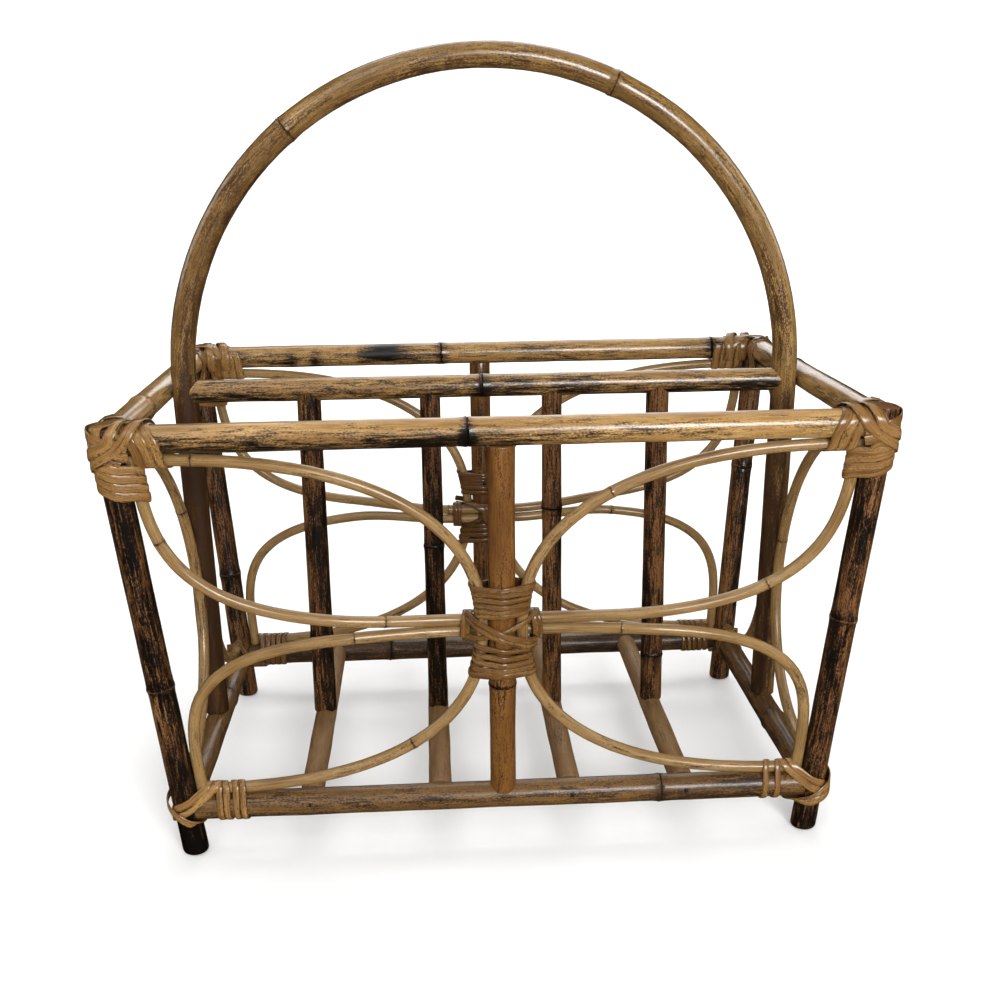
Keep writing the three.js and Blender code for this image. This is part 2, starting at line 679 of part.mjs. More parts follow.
// Over the base: once round the leg under the rails, up across the front of the leg, and turns on
// the long rail and the canes that end there.
function baseLashing() {
  const legCircles = (up) => {
    const inset = levelBowInset(...lowerBow, baseHeight + up) - lengthLean * up;
    const cane = { centre: [inset, legAt(up)[1]], radius: caneRadius };
    return up > 0 ? [legCircle(up), cane] : [legCircle(up)];
  };
  const backTurn = 0.75;
  const climbTurn = 5 / 6;
  const frontTurn = 1.25;
  const backUp = -(railRadius + tapeWidth / 2 + tapeGap);
  const spiral = (turn) => backUp + (turn - backTurn) * turnSpacing;
  const climb = (railRadius * copeReachShare - spiral(climbTurn)) / (frontTurn - climbTurn);
  const leg = coil({
    turns: frontTurn + 1 / stepsPerTurn,
    start: 2 * quarter,
    direction: -1,
    placeAt: (turn) => spiral(Math.min(turn, climbTurn)) + climb * Math.max(0, turn - climbTurn),
    circlesAt: legCircles,
    put: onLeg,
    liftAt: (turn) => (turn > frontTurn ? tapeStack : 0),
  });
  const rail = coil({
    turns: baseRailTurns,
    start: quarter / 3,
    direction: 1,
    placeAt: (turn) => besideLeg + caneRadius + tapeWidth / 2 + turn * baseTurnSpacing,
    circlesAt: (place) => {
      const out = baseLength / 2 - place;
      const up = uprightBowHeightAt(out, caneOverBase, besidePost, longBowEnd) - baseHeight;
      return [railCircle, { centre: [depthLean * up, up], radius: caneRadius }];
    },
    put: onLongRail,
    liftAt: (turn) => (turn === 0 ? tapeStack : 0),
  });
  return [...leg, ...rail];
}

// The lashing at the middle of a long side, in its panel's directions: across from the post's
// axis, outward from the panel and up along the post from the waist. A band goes round the post
// and the upright bows, then a cross goes over them and round the level canes on either side,
// then a second band.
const panelUp = new THREE.Vector3(0, depthLean, 1).normalize();
const panelOut = panelUp.clone().cross(new THREE.Vector3(1, 0, 0));
const onPanel = (up, [acrossPost, outward]) =>
  new THREE.Vector3(acrossPost, 0, 0).addScaledVector(panelOut, outward).addScaledVector(panelUp, up);
const onLevelCanes = (acrossPost, [outward, up]) => onPanel(up, [acrossPost, outward]);

function middleLashing() {
  const levelCanes = [-1, 1].map((end) => {
    const axis = new THREE.Vector3(0, -besidePost, end * levelHalfGap);
    return { centre: [axis.dot(panelOut), axis.dot(panelUp)], radius: caneRadius };
  });
  const postAndBows = (up) => {
    const edge = up + (Math.sign(up) * tapeWidth) / 2;
    const out = uprightBowOutAt(waistHeight + edge * panelUp.z, besidePost, longBowEnd);
    return [
      { centre: [0, 0], radius: postRadius },
      { centre: [-out, 0], radius: caneRadius },
      { centre: [out, 0], radius: caneRadius },
    ];
  };
  const band = (turns, start, placeAt) =>
    coil({ turns, start, direction: -1, placeAt, circlesAt: postAndBows, put: onPanel });
  const diagonal = (start, direction, from, to, lift) =>
    coil({
      turns: 0.25,
      start,
      direction,
      placeAt: (turn) => from + (to - from) * 4 * turn,
      circlesAt: postAndBows,
      put: onPanel,
      liftAt: () => lift,
    });
  const loop = (side) =>
    coil({
      turns: 0.75,
      start: -quarter / 2,
      direction: -1,
      placeAt: () => side * loopReach,
      circlesAt: () => levelCanes,
      put: onLevelCanes,
    });
  const left = 1.5 * quarter;
  const right = 0.5 * quarter;
  return [
    ...band(upperBandTurns, 2 * quarter, (turn) => bandHeight + (upperBandTurns - turn) * bandSpacing),
    ...diagonal(left, -1, crossHigh, -crossLow, crossLift),
    ...loop(1),
    ...diagonal(right, 1, crossMiddle, -crossMiddle, 0),
    ...loop(-1),
    ...diagonal(left, -1, crossLow, -crossHigh, crossLift),
    ...band(lowerBandTurns, 0, (turn) => -bandHeight - turn * bandSpacing),
  ];
}

// Puts stations made in a corner's or a panel's own directions at their place on the basket.
function placed(stations, sideX, sideY, origin) {
  const turned = (v) => new THREE.Vector3(-sideX * v.x, sideY * v.y, v.z);
  return stations.map(({ point, out }) => ({ point: turned(point).add(origin), out: turned(out) }));
}
const lashingGroup = addGroup();
function addLashing(name, stations) {
  const { geometry, corners } = tapeAlong(stations);
  const gap = leastGap(corners);
  const verdict = gap > leastTurnGap ? "clear" : "too close";
  console.log(`${name}: least gap to itself ${gap.toFixed(2)} mm, ${verdict}`);
  add(lashingGroup, name, geometry, pale);
}
for (const [nameY, sideY] of sidesY) {
  for (const [nameX, sideX] of sidesX) {
    const atRim = placed(rimLashing(), sideX, sideY, cornerAt(sideX, sideY, rimHeight));
    const atBase = placed(baseLashing(), sideX, sideY, cornerAt(sideX, sideY, baseHeight));
    addLashing(`${nameY}_${nameX}_rim_lashing`, atRim);
    addLashing(`${nameY}_${nameX}_base_lashing`, atBase);
  }
  const waist = new THREE.Vector3(0, sideY * halfDepthAt(waistHeight), waistHeight);
  addLashing(`${nameY}_middle_lashing`, placed(middleLashing(), -1, sideY, waist));
}

export default basket;
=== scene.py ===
from itertools import count
from math import atan2, cos, pi, radians, sin, sqrt

import bmesh
import bpy
from mathutils import Matrix, Vector


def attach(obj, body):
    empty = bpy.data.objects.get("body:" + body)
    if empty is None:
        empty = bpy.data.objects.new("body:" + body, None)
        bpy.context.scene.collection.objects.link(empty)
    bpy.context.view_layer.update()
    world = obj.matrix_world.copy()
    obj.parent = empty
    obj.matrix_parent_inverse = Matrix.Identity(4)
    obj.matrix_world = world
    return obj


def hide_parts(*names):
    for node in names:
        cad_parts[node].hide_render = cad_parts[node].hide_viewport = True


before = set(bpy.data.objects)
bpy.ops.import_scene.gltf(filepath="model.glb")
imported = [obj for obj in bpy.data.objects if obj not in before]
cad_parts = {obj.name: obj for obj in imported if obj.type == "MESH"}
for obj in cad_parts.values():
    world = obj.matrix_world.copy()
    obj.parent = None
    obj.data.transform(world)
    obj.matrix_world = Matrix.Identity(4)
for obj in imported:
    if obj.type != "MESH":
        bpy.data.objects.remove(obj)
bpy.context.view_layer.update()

# Driving sizes of the frame, between pole axes.
RIM_LENGTH = 0.430
RIM_DEPTH = 0.280
BASE_LENGTH = 0.388
BASE_DEPTH = 0.238
RIM_HEIGHT = 0.267
BASE_HEIGHT = 0.0322
OVERALL_HEIGHT = 0.482
ARCH_RISE = 0.0084  # middle of the handle's arch above the rim rails' axes

# Radii of poles and canes.
LEG_RADIUS = 0.0079
RAIL_RADIUS = 0.0082
HANDLE_RADIUS = 0.0082
DIVIDER_RADIUS = 0.0075
SPINDLE_RADII = [0.00775, 0.0067, 0.0067, 0.0075]
SLAT_RADIUS = 0.0072
POST_RADIUS = 0.00785
CANE_RADIUS = 0.0035

# Fits.
CLEARANCE = 0.0003
LEG_TOP_DROP = 0.0008
SLAT_RISE = 0.001
SPINDLE_NOTCH = 0.0026
HANDLE_NOTCH = 0.0012
COPE_REACH_SHARE = 0.75
CUT_OVERRUN = 0.02

# Places of the spindles and slats, as shares of half the base length.
SPINDLE_PLACE_SHARES = [-0.61, -0.2, 0.217, 0.583]

# Cane work, as in the frame.
UPRIGHT_BOW_EXPONENT = 2.35
UPPER_BOW_EXPONENT = 3.4
LOWER_BOW_EXPONENT = 3.8
WAIST_HEIGHT_SHARE = 0.49
LEVEL_CANE_RETURN_SHARE = 0.5
SIDE_CANE_INSET = 0.0055

FLARE = RIM_HEIGHT - BASE_HEIGHT
LENGTH_LEAN = (RIM_LENGTH - BASE_LENGTH) / 2 / FLARE
DEPTH_LEAN = (RIM_DEPTH - BASE_DEPTH) / 2 / FLARE
UP = Vector((0, 0, 1))
SIDES_X = [("left", -1), ("right", 1)]
SIDES_Y = [("front", -1), ("back", 1)]


def half_length_at(height):
    return BASE_LENGTH / 2 + (height - BASE_HEIGHT) * LENGTH_LEAN


def half_depth_at(height):
    return BASE_DEPTH / 2 + (height - BASE_HEIGHT) * DEPTH_LEAN


def corner_at(side_x, side_y, height):
    return Vector((side_x * half_length_at(height), side_y * half_depth_at(height), height))


# Materials.

def feed(tree, target, inputs):
    """Sets a node's inputs to values, or links them to other nodes' outputs."""
    for key, value in inputs.items():
        socket = target.inputs[key]
        if isinstance(value, bpy.types.NodeSocket):
            tree.links.new(value, socket)
        else:
            socket.default_value = (*value, 1) if socket.type == "RGBA" else value


def node(tree, kind, inputs, **settings):
    made = tree.nodes.new("ShaderNode" + kind)
    for name, value in settings.items():
        setattr(made, name, value)
    feed(tree, made, inputs)
    return made


def noise_of(tree, vector, scale, detail, roughness=0.55, distortion=0.0):
    inputs = {"Vector": vector, "Scale": scale, "Detail": detail, "Roughness": roughness,
              "Distortion": distortion}
    return node(tree, "TexNoise", inputs).outputs["Fac"]


def grain_noise(tree, grain, along, across, *noise):
    """Noise with so many cells a metre along the pole and across it."""
    stretched = node(tree, "Mapping", {"Vector": grain, "Scale": (along, across, across)})
    return noise_of(tree, stretched.outputs["Vector"], 1, *noise)


def math_of(tree, operation, *values):
    return node(tree, "Math", dict(enumerate(values)), operation=operation).outputs[0]


def ramp_of(tree, factor, stops):
    made = node(tree, "ValToRGB", {"Fac": factor})
    band = made.color_ramp
    while len(band.elements) < len(stops):
        band.elements.new(0.5)
    for element, (place, colour) in zip(band.elements, stops):
        element.position = place
        element.color = (*colour, 1)
    return made.outputs["Color"]


def mixed(tree, factor, a, b):
    return node(tree, "Mix", {0: factor, 6: a, 7: b}, data_type="RGBA").outputs[2]


def new_material(name):
    material = bpy.data.materials.new(name)
    material.use_nodes = True
    return material, material.node_tree, material.node_tree.nodes["Principled BSDF"]


# Each noise of the grain: cells a metre along and across, detail, roughness and distortion.
BROAD_NOISE = (20, 110, 3.0)
STREAK_NOISE = (70, 700, 6.0, 0.68, 0.3)
LINE_NOISE = (45, 2600, 3.0, 0.6)
FLECK_NOISE = (700, 1700, 2.0, 0.5)
BROAD_TONE = 0.55
SKIN_STOPS = [0.38, 0.50, 0.62]
WARM_STOPS = [(0.34, (0, 0, 0)), (0.52, (1, 1, 1))]
BLACK_STARTS = 0.46
WARM_STRENGTH = 0.78
LINE_ROUGHNESS = 0.2
LINE_ROUGHNESS_BASE = -0.06
BLACK_ROUGHNESS = 0.1
COAT_ROUGHNESS = 0.2
STREAK_RELIEF = 0.6
RELIEF_STRENGTH = 0.6
RELIEF_DEPTH = 0.0002


# Varnished rattan. The grain attribute is a place along and across the pole before it was bent, and
# the second attribute says how dark it is there: how strongly the flame caught it, and painted shade
# on undersides and in the creases between strips.
def rattan(name, skins, chars, streak=1.0, line=0.8, fleck=0.4, patchy=0.8, gloss=0.26, coat=0.45,
           specular=0.3, blackest=0.62):
    material, tree, shader = new_material(name)
    grain = node(tree, "Attribute", {}, attribute_name="grain").outputs["Vector"]
    burn_and_shade = node(tree, "Attribute", {}, attribute_name="scorch").outputs["Fac"]
    broad, streaks, lines, flecks = (
        grain_noise(tree, grain, *noise) for noise in (BROAD_NOISE, STREAK_NOISE, LINE_NOISE, FLECK_NOISE)
    )
    tone = math_of(tree, "MULTIPLY_ADD", broad, BROAD_TONE, math_of(tree, "MULTIPLY", lines, 1 - BROAD_TONE))
    skin = ramp_of(tree, tone, list(zip(SKIN_STOPS, skins)))
    for noise, gain in ((streaks, streak), (broad, patchy), (lines, line), (flecks, fleck)):
        burn_and_shade = math_of(tree, "MULTIPLY_ADD", math_of(tree, "SUBTRACT", noise, 0.5), gain, burn_and_shade)
    warm = math_of(tree, "MULTIPLY", ramp_of(tree, burn_and_shade, WARM_STOPS), WARM_STRENGTH)
    black = ramp_of(tree, burn_and_shade, [(BLACK_STARTS, (0, 0, 0)), (blackest, (1, 1, 1))])
    rough = math_of(tree, "MULTIPLY_ADD", lines, LINE_ROUGHNESS, gloss + LINE_ROUGHNESS_BASE)
    relief = math_of(tree, "MULTIPLY_ADD", streaks, STREAK_RELIEF,
                     math_of(tree, "MULTIPLY", lines, 1 - STREAK_RELIEF))
    bump = node(tree, "Bump", {"Strength": RELIEF_STRENGTH, "Distance": RELIEF_DEPTH,
                                         "Height": relief})
    feed(tree, shader, {
        "Base Color": mixed(tree, black, mixed(tree, warm, skin, chars[0]), chars[1]),
        "Roughness": math_of(tree, "MULTIPLY_ADD", black, BLACK_ROUGHNESS, rough),
        "Specular IOR Level": specular, "Coat Weight": coat, "Coat Roughness": COAT_ROUGHNESS,
        "Normal": bump.outputs["Normal"],
    })
    return material


# Each skin's colours run from dark to light, and its chars from brown to black.
SOOT = (0.0035, 0.0022, 0.0014)
torched = rattan(
    "torched rattan", [(0.17, 0.086, 0.025), (0.305, 0.174, 0.055), (0.46, 0.292, 0.113)],
    [(0.088, 0.041, 0.013), SOOT], fleck=0.6, blackest=0.66,
)
weathered = rattan(
    "weathered rattan", [(0.078, 0.036, 0.009), (0.145, 0.073, 0.019), (0.235, 0.128, 0.037)],
    [(0.07, 0.030, 0.008), (0.022, 0.010, 0.0035)],
    streak=1.1, line=1.2, fleck=1.1, patchy=1.2, gloss=0.36, coat=0.25, blackest=0.68,
)
handle_skin = rattan(
    "torched handle", [(0.088, 0.045, 0.012), (0.195, 0.112, 0.034), (0.33, 0.207, 0.076)],
    [(0.072, 0.030, 0.008), (0.030, 0.012, 0.0035)],
    streak=1.3, line=1.2, fleck=1.2, patchy=1.3, gloss=0.2, coat=0.5, blackest=0.70,
)
scorched = rattan(
    "scorched rattan", [(0.105, 0.043, 0.013), (0.165, 0.074, 0.023), (0.265, 0.138, 0.05)],
    [(0.05, 0.019, 0.007), SOOT], streak=1.1, line=1.2, fleck=0.8, coat=0.35, specular=0.2, blackest=0.60,
)
honey = rattan(
    "honey rattan", [(0.065, 0.024, 0.004), (0.125, 0.05, 0.009), (0.195, 0.084, 0.018)],
    [(0.05, 0.017, 0.005), SOOT], line=1.1, fleck=0.9,
)
cane_skin = rattan(
    "cane", [(0.125, 0.065, 0.019), (0.20, 0.116, 0.041), (0.265, 0.168, 0.067)],
    [(0.07, 0.028, 0.009), (0.016, 0.008, 0.005)], fleck=0.6, gloss=0.24,
)
slat_skin = rattan(
    "peeled rattan", [(0.105, 0.05, 0.015), (0.165, 0.086, 0.027), (0.225, 0.126, 0.045)],
    [(0.07, 0.033, 0.013), (0.03, 0.016, 0.009)], gloss=0.55, coat=0.0,
)
split_skin = rattan(
    "split cane", [(0.085, 0.035, 0.008), (0.185, 0.092, 0.025), (0.315, 0.18, 0.058)],
    [(0.05, 0.018, 0.005), (0.012, 0.006, 0.004)], streak=0.8, fleck=1.0, gloss=0.24,
)
# Darker split cane: own darker tone on the front middle lashing, painted shade on the back base ones.
darker_split_and_shade = rattan(
    "darker split cane and painted shade", [(0.055, 0.021, 0.005), (0.12, 0.055, 0.013), (0.215, 0.115, 0.033)],
    [(0.04, 0.014, 0.004), (0.012, 0.006, 0.004)], streak=0.8, fleck=1.0, gloss=0.22,
)
# Split cane darkened further for the back middle lashing: painted shade.
shaded_split_skin = rattan(
    "split cane with painted shade", [(0.052, 0.019, 0.005), (0.08, 0.034, 0.008), (0.115, 0.052, 0.015)],
    [(0.04, 0.014, 0.005), SOOT], streak=0.6, fleck=0.8, gloss=0.26,
)

TARNISH_PER_METRE = 900
TARNISH_STOPS = [(0.4, (0.05, 0.04, 0.032)), (0.62, (0.018, 0.013, 0.010))]


def wire_steel():
    material, tree, shader = new_material("wire steel")
    place = node(tree, "TexCoord", {}).outputs["Object"]
    tarnish = noise_of(tree, place, TARNISH_PER_METRE, 4.0)
    feed(tree, shader, {"Base Color": ramp_of(tree, tarnish, TARNISH_STOPS), "Metallic": 0.85,
                        "Roughness": math_of(tree, "MULTIPLY_ADD", tarnish, 0.3, 0.32)})
    return material


nail_steel = wire_steel()


# Modelling steps.

def mode(name):
    bpy.ops.object.mode_set(mode=name)


def work_on(piece):
    bpy.ops.object.select_all(action="DESELECT")
    piece.select_set(True)
    bpy.context.view_layer.objects.active = piece


def settle():
    """Puts the place and turn of the piece in hand into its mesh."""
    bpy.ops.object.transform_apply(location=True, rotation=True, scale=True)


def pick(kind, test):
    """Selects the verts, edges or faces of the mesh in hand that pass a test."""
    bpy.ops.mesh.select_mode(type=kind)
    bpy.ops.mesh.select_all(action="DESELECT")
    mesh = bmesh.from_edit_mesh(bpy.context.object.data)
    for part in {"VERT": mesh.verts, "EDGE": mesh.edges, "FACE": mesh.faces}[kind]:
        if test(part):
            part.select_set(True)
    mesh.select_flush_mode()
    bmesh.update_edit_mesh(bpy.context.object.data)


def round_off(size, segments=3):
    """Rounds the edges in hand."""
    bpy.ops.mesh.bevel(offset=size, segments=segments, affect="EDGES")


def cylinder(name, sides, radius, depth, place, turn=(0, 0, 0)):
    bpy.ops.object.select_all(action="DESELECT")
    bpy.ops.mesh.primitive_cylinder_add(
        vertices=sides, radius=radius, depth=depth, location=place, rotation=turn)
    bpy.context.object.name = name
    return bpy.context.object


def new_object(name, data):
    made = bpy.data.objects.new(name, data)
    bpy.context.scene.collection.objects.link(made)
    return made


QUARTER = pi / 2
POLE_SIDES = 28
CANE_SIDES = 18
POLE_STEP = 0.006
POLE_BEVEL = 0.0007
ON_PLANE = 0.00006
SMOOTH_BELOW = radians(50)
NAIL_SMOOTH_BELOW = radians(40)

# A joint of the pole: where the loops lie from its middle, and how far each stands proud.
POLE_JOINT = [
    (-0.0060, 0.0000), (-0.0024, 0.00022), (-0.0011, 0.0005), (-0.0004, 0.00066),
    (0.0000, 0.0000), (0.0004, 0.00048), (0.0012, 0.00036), (0.0030, 0.00016), (0.0070, 0.0000),
]
CANE_JOINT_SHARE = 0.42


def straight_rod(name, length, radius, joints, sides=POLE_SIDES, step=POLE_STEP, bevel=POLE_BEVEL, proud=1.0):
    """A straight rod from the origin along X, with the rings of its joints raised on it."""
    rod = cylinder(name, sides, radius, length, (length / 2, 0, 0), (0, QUARTER, 0))
    settle()
    mode("EDIT")
    pick("EDGE", lambda edge: abs(edge.verts[0].co.x - edge.verts[1].co.x) > length / 2)
    bpy.ops.mesh.subdivide(number_cuts=max(1, round(length / step) - 1))
    for middle in joints:
        for offset, _ in POLE_JOINT:
            bpy.ops.mesh.select_all(action="SELECT")
            bpy.ops.mesh.bisect(plane_co=(middle + offset * proud, 0, 0), plane_no=(1, 0, 0))
        for offset, rise in POLE_JOINT:
            place = middle + offset * proud
            pick("VERT", lambda vert: abs(vert.co.x - place) < ON_PLANE)
            grown = 1 + rise * proud / radius
            bpy.ops.transform.resize(value=(1, grown, grown), center_override=(place, 0, 0))
    pick("FACE", lambda face: len(face.verts) > 4)
    bpy.ops.mesh.region_to_loop()
    round_off(bevel)
    mode("OBJECT")
    return rod


def keep_grain(rod, seed, straightened=Matrix.Identity(4)):
    """Notes where each point lies along and across the straight rod, shifted so that no two match."""
    shift = Vector((seed * 1.37, seed * 0.61, seed * 0.29))
    grain = rod.data.attributes.new("grain", "FLOAT_VECTOR", "POINT")
    straight = [straightened @ vert.co for vert in rod.data.vertices]
    for place, value in zip(straight, grain.data):
        value.vector = place + shift
    return [place.x for place in straight]


def change(rod, name, kind, **settings):
    """Adds a modifier with its settings and applies it."""
    modifier = rod.modifiers.new(name, kind)
    for key, value in settings.items():
        setattr(modifier, key, value)
    work_on(rod)
    bpy.ops.object.modifier_apply(modifier=name)


def roughen(rod, strength, size):
    """Slight natural unevenness."""
    clouds = bpy.data.textures.new("unevenness", "CLOUDS")
    clouds.noise_scale = size
    clouds.noise_depth = 1
    change(rod, "uneven", "DISPLACE", texture=clouds, strength=strength)


def follow(rod, points):
    """Bends a straight rod along a route from its first point to its last."""
    route = bpy.data.curves.new("route", "CURVE")
    route.dimensions = "3D"
    route.twist_mode = "MINIMUM"
    line = route.splines.new("POLY")
    line.points.add(len(points) - 1)
    for place, point in zip(line.points, points):
        place.co = (*point, 1)
    guide = new_object("route", route)
    change(rod, "bend", "CURVE", object=guide, deform_axis="POS_X")
    bpy.data.objects.remove(guide)
    bpy.data.curves.remove(route)


def stand(rod, start, direction):
    """Turns a straight rod from X to a direction and puts its foot at a point. Gives its placing."""
    turn = Vector((1, 0, 0)).rotation_difference(direction)
    placed = Matrix.Translation(start) @ turn.to_matrix().to_4x4()
    rod.matrix_world = placed
    work_on(rod)
    settle()
    return placed


def cope(rod, start, end, radius):
    """Cuts a rod to fit round a straight pole."""
    run = end - start
    turn = UP.rotation_difference(run.normalized()).to_euler()
    tool = cylinder("tool", 2 * POLE_SIDES, radius + CLEARANCE, run.length, (start + end) / 2, turn)
    change(rod, "cope", "BOOLEAN", object=tool, operation="DIFFERENCE", solver="EXACT")
    bpy.data.objects.remove(tool)


def length_of(points):
    return sum((b - a).length for a, b in zip(points, points[1:]))


def finish(piece, material, slot, node_name, smooth_below=SMOOTH_BELOW):
    """Gives a piece its material, shading and body, and hides its node of the frame. The slot is not used."""
    piece.data.materials.clear()
    piece.data.materials.append(material)
    work_on(piece)
    bpy.ops.object.shade_smooth_by_angle(angle=smooth_below)
    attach(piece, "root")
    if node_name:
        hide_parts(node_name)


def finish_rod(rod, material, slot, node_name, places, scorch_and_shade_at):
    finish(rod, material, slot, node_name)
    scorch = rod.data.attributes.new("scorch", "FLOAT", "POINT")
    for vert, place, value in zip(rod.data.vertices, places, scorch.data):
        value.value = scorch_and_shade_at(place, vert.normal)


def held(value):
    """A value kept between 0 and 1."""
    return min(1.0, max(0.0, value))


def near(place, middle, width):
    """1 at a place, falling to 0 past a width."""
    return max(0.0, 1 - abs(place - middle) / width)


def smoothstep(value, low, high):
    share = held((value - low) / (high - low))
    return share * share * (3 - 2 * share)


# Poles of the frame.
RING_WIDTH = 0.0007
TOP_FACING = 0.8
# Dark sides facing down, or low in front, are partly scorch and partly painted shade.
FRONT_LOW = (0, -0.5, -1)
DOWN = (0, 0, -1)
POLE_UNEVENNESS = (0.0005, 0.03)  # strength and size


def scorch_and_shade_by(length, joints, level, dark=(DOWN, 0.0), joint_gain=0.12, joint_width=0.008,
                ring_gain=0.3, patches=(), top_level=None):
    """How strongly the flame caught a point, and the painted shade on it, from its place along the
    pole and the way it faces.

    The dark side is the way it faces and its gain: facing down, it is partly scorch and partly painted
    shade. A patch is a share of the pole's length, the way it faces, its size and its gain."""
    dark_side, side_gain = Vector(dark[0]).normalized(), dark[1]
    spots = [(share * length, Vector(facing).normalized(), size, gain)
             for share, facing, size, gain in patches]

    def at(place, normal):
        if top_level is not None and normal.z > TOP_FACING:
            return top_level
        value = level + side_gain * normal.dot(dark_side)
        for joint in joints:
            value += joint_gain * near(place, joint, joint_width) + ring_gain * near(place, joint, RING_WIDTH)
        for middle, facing, size, gain in spots:
            value += gain * near(place, middle, size) * max(0.0, normal.dot(facing))
        return value

    return at


def pole(name, start, end, radius, joint_shares, looks, material, slot, seed, copes=(), shape=None,
         bevel=POLE_BEVEL):
    """A straight pole, cut to fit round its neighbours."""
    length = (end - start).length
    joints = [share * length for share in joint_shares]
    rod = straight_rod(name, length, radius, joints, bevel=bevel)
    roughen(rod, *POLE_UNEVENNESS)
    placed = stand(rod, start, (end - start).normalized())
    for tool in copes:
        cope(rod, *tool)
    if shape:
        shape()
    places = keep_grain(rod, seed, placed.inverted())
    finish_rod(rod, material, slot, name, places, scorch_and_shade_by(length, joints, **looks))


# The looks of each pole: the shares of its length where its joints lie, and how dark it is: scorch,
# and painted shade where its dark side faces down.
LEG_TOP = RIM_HEIGHT + RAIL_RADIUS - LEG_TOP_DROP
LEG_BEVEL = 0.0004
FOOT_BEVEL = 0.0024
ON_FLOOR = 0.00001
SAWN_END_RISE = 0.0022
SAWN_END_SCORCH = 0.34
LEG_LOOKS = {
    "front_left": ([0.46], dict(level=0.60, dark=((1, 0, 0), 0.08), ring_gain=-0.2, patches=[
        (0.12, (0, -1, 0), 0.06, 0.25), (0.42, (-0.3, -1, 0), 0.03, -0.16), (0.88, (0, -1, 0), 0.08, 0.1)])),
    "front_right": ([0.56], dict(level=0.545, dark=((-1, 0, 0), 0.07), ring_gain=-0.25,
                                 patches=[(0.12, (0, -1, 0), 0.03, 0.1)])),
    "back_left": ([0.4], dict(level=0.55, dark=((1, 0, 0), 0.05), ring_gain=-0.2)),
    "back_right": ([0.66], dict(level=0.54, dark=((1, 0, 0), 0.1), ring_gain=-0.2)),
}
RAIL_LOOKS = {
    "front_rim": ([0.455], dict(
        level=0.37, dark=(FRONT_LOW, 0.22), joint_gain=0.3, joint_width=0.006, patches=[
            (0.40, (0, -1, -0.8), 0.06, 0.14), (0.24, FRONT_LOW, 0.16, 0.16), (0.84, FRONT_LOW, 0.18, -0.26),
            (0.56, (0, -0.5, 1), 0.05, 0.1), (0.05, (0, -1, 0), 0.04, 0.08)])),
    "back_rim": ([0.43, 0.93], dict(
        level=0.41, dark=(FRONT_LOW, 0.08), joint_gain=0.2, patches=[
            (0.325, (0, -0.7, 0.7), 0.022, 0.55), (0.16, (0, -1, -0.6), 0.005, 0.22),
            (0.20, (0, -1, -0.6), 0.005, 0.22)])),
    "front_base": ([0.76], dict(level=0.42, dark=(FRONT_LOW, 0.06), joint_gain=0.25, patches=[
        (0.84, (0, -1, 0), 0.05, 0.2), (0.3, (0, -1, 1), 0.08, 0.08)])),
    "back_base": ([0.3], dict(level=0.66, dark=(FRONT_LOW, 0.06))),
    "left_rim": ([0.3], dict(level=0.38, dark=(DOWN, 0.14))),
    "right_rim": ([0.62], dict(level=0.49, dark=((1, 0, -0.4), 0.08))),
    "left_base": ([0.66], dict(level=0.48, dark=(DOWN, 0.08))),
    "right_base": ([0.36], dict(level=0.56, dark=(DOWN, 0.08))),
}
RAIL_SKINS = {"rim": torched, "base": weathered}


def flat_foot():
    """Cuts the leg in hand off at the floor and rounds the edge of its foot."""
    mode("EDIT")
    bpy.ops.mesh.select_all(action="SELECT")
    bpy.ops.mesh.bisect(plane_co=(0, 0, 0), plane_no=(0, 0, 1), use_fill=True, clear_inner=True)
    pick("EDGE", lambda edge: all(vert.co.z < ON_FLOOR for vert in edge.verts))
    round_off(FOOT_BEVEL, 5)
    mode("OBJECT")


def leg(name_x, side_x, name_y, side_y, seed):
    key = f"{name_y}_{name_x}"
    joint_shares, looks = LEG_LOOKS[key]
    top = LEG_TOP + (SAWN_END_RISE if side_x * side_y < 0 else 0)
    pole(f"{key}_leg", corner_at(side_x, side_y, -CUT_OVERRUN), corner_at(side_x, side_y, top), LEG_RADIUS,
         joint_shares, dict(looks, top_level=SAWN_END_SCORCH), scorched, "scorched_pole", seed,
         shape=flat_foot, bevel=LEG_BEVEL)


def leg_cope(side_x, side_y):
    foot, top = (corner_at(side_x, side_y, height) for height in (-CUT_OVERRUN, LEG_TOP + CUT_OVERRUN))
    return foot, top, LEG_RADIUS


def long_rail_cope(side_y, height):
    return corner_at(-1, side_y, height), corner_at(1, side_y, height), RAIL_RADIUS


def rail(side_name, level_name, corners, height, seed, copes=()):
    start, end = (corner_at(*corner, height) for corner in corners)
    reach = (end - start).normalized() * LEG_RADIUS * COPE_REACH_SHARE
    key = f"{side_name}_{level_name}"
    pole(f"{key}_rail", start + reach, end - reach, RAIL_RADIUS, *RAIL_LOOKS[key], RAIL_SKINS[level_name],
         "pole", seed, [*(leg_cope(*corner) for corner in corners), *copes])


def frame_poles():
    seeds = count(1)
    for name_x, side_x in SIDES_X:
        for name_y, side_y in SIDES_Y:
            leg(name_x, side_x, name_y, side_y, next(seeds))
    for level_name, height in (("rim", RIM_HEIGHT), ("base", BASE_HEIGHT)):
        long_rails = [long_rail_cope(side_y, height) for _, side_y in SIDES_Y]
        for name_y, side_y in SIDES_Y:
            rail(name_y, level_name, [(-1, side_y), (1, side_y)], height, next(seeds))
        for name_x, side_x in SIDES_X:
            rail(name_x, level_name, [(side_x, -1), (side_x, 1)], height, next(seeds), long_rails)


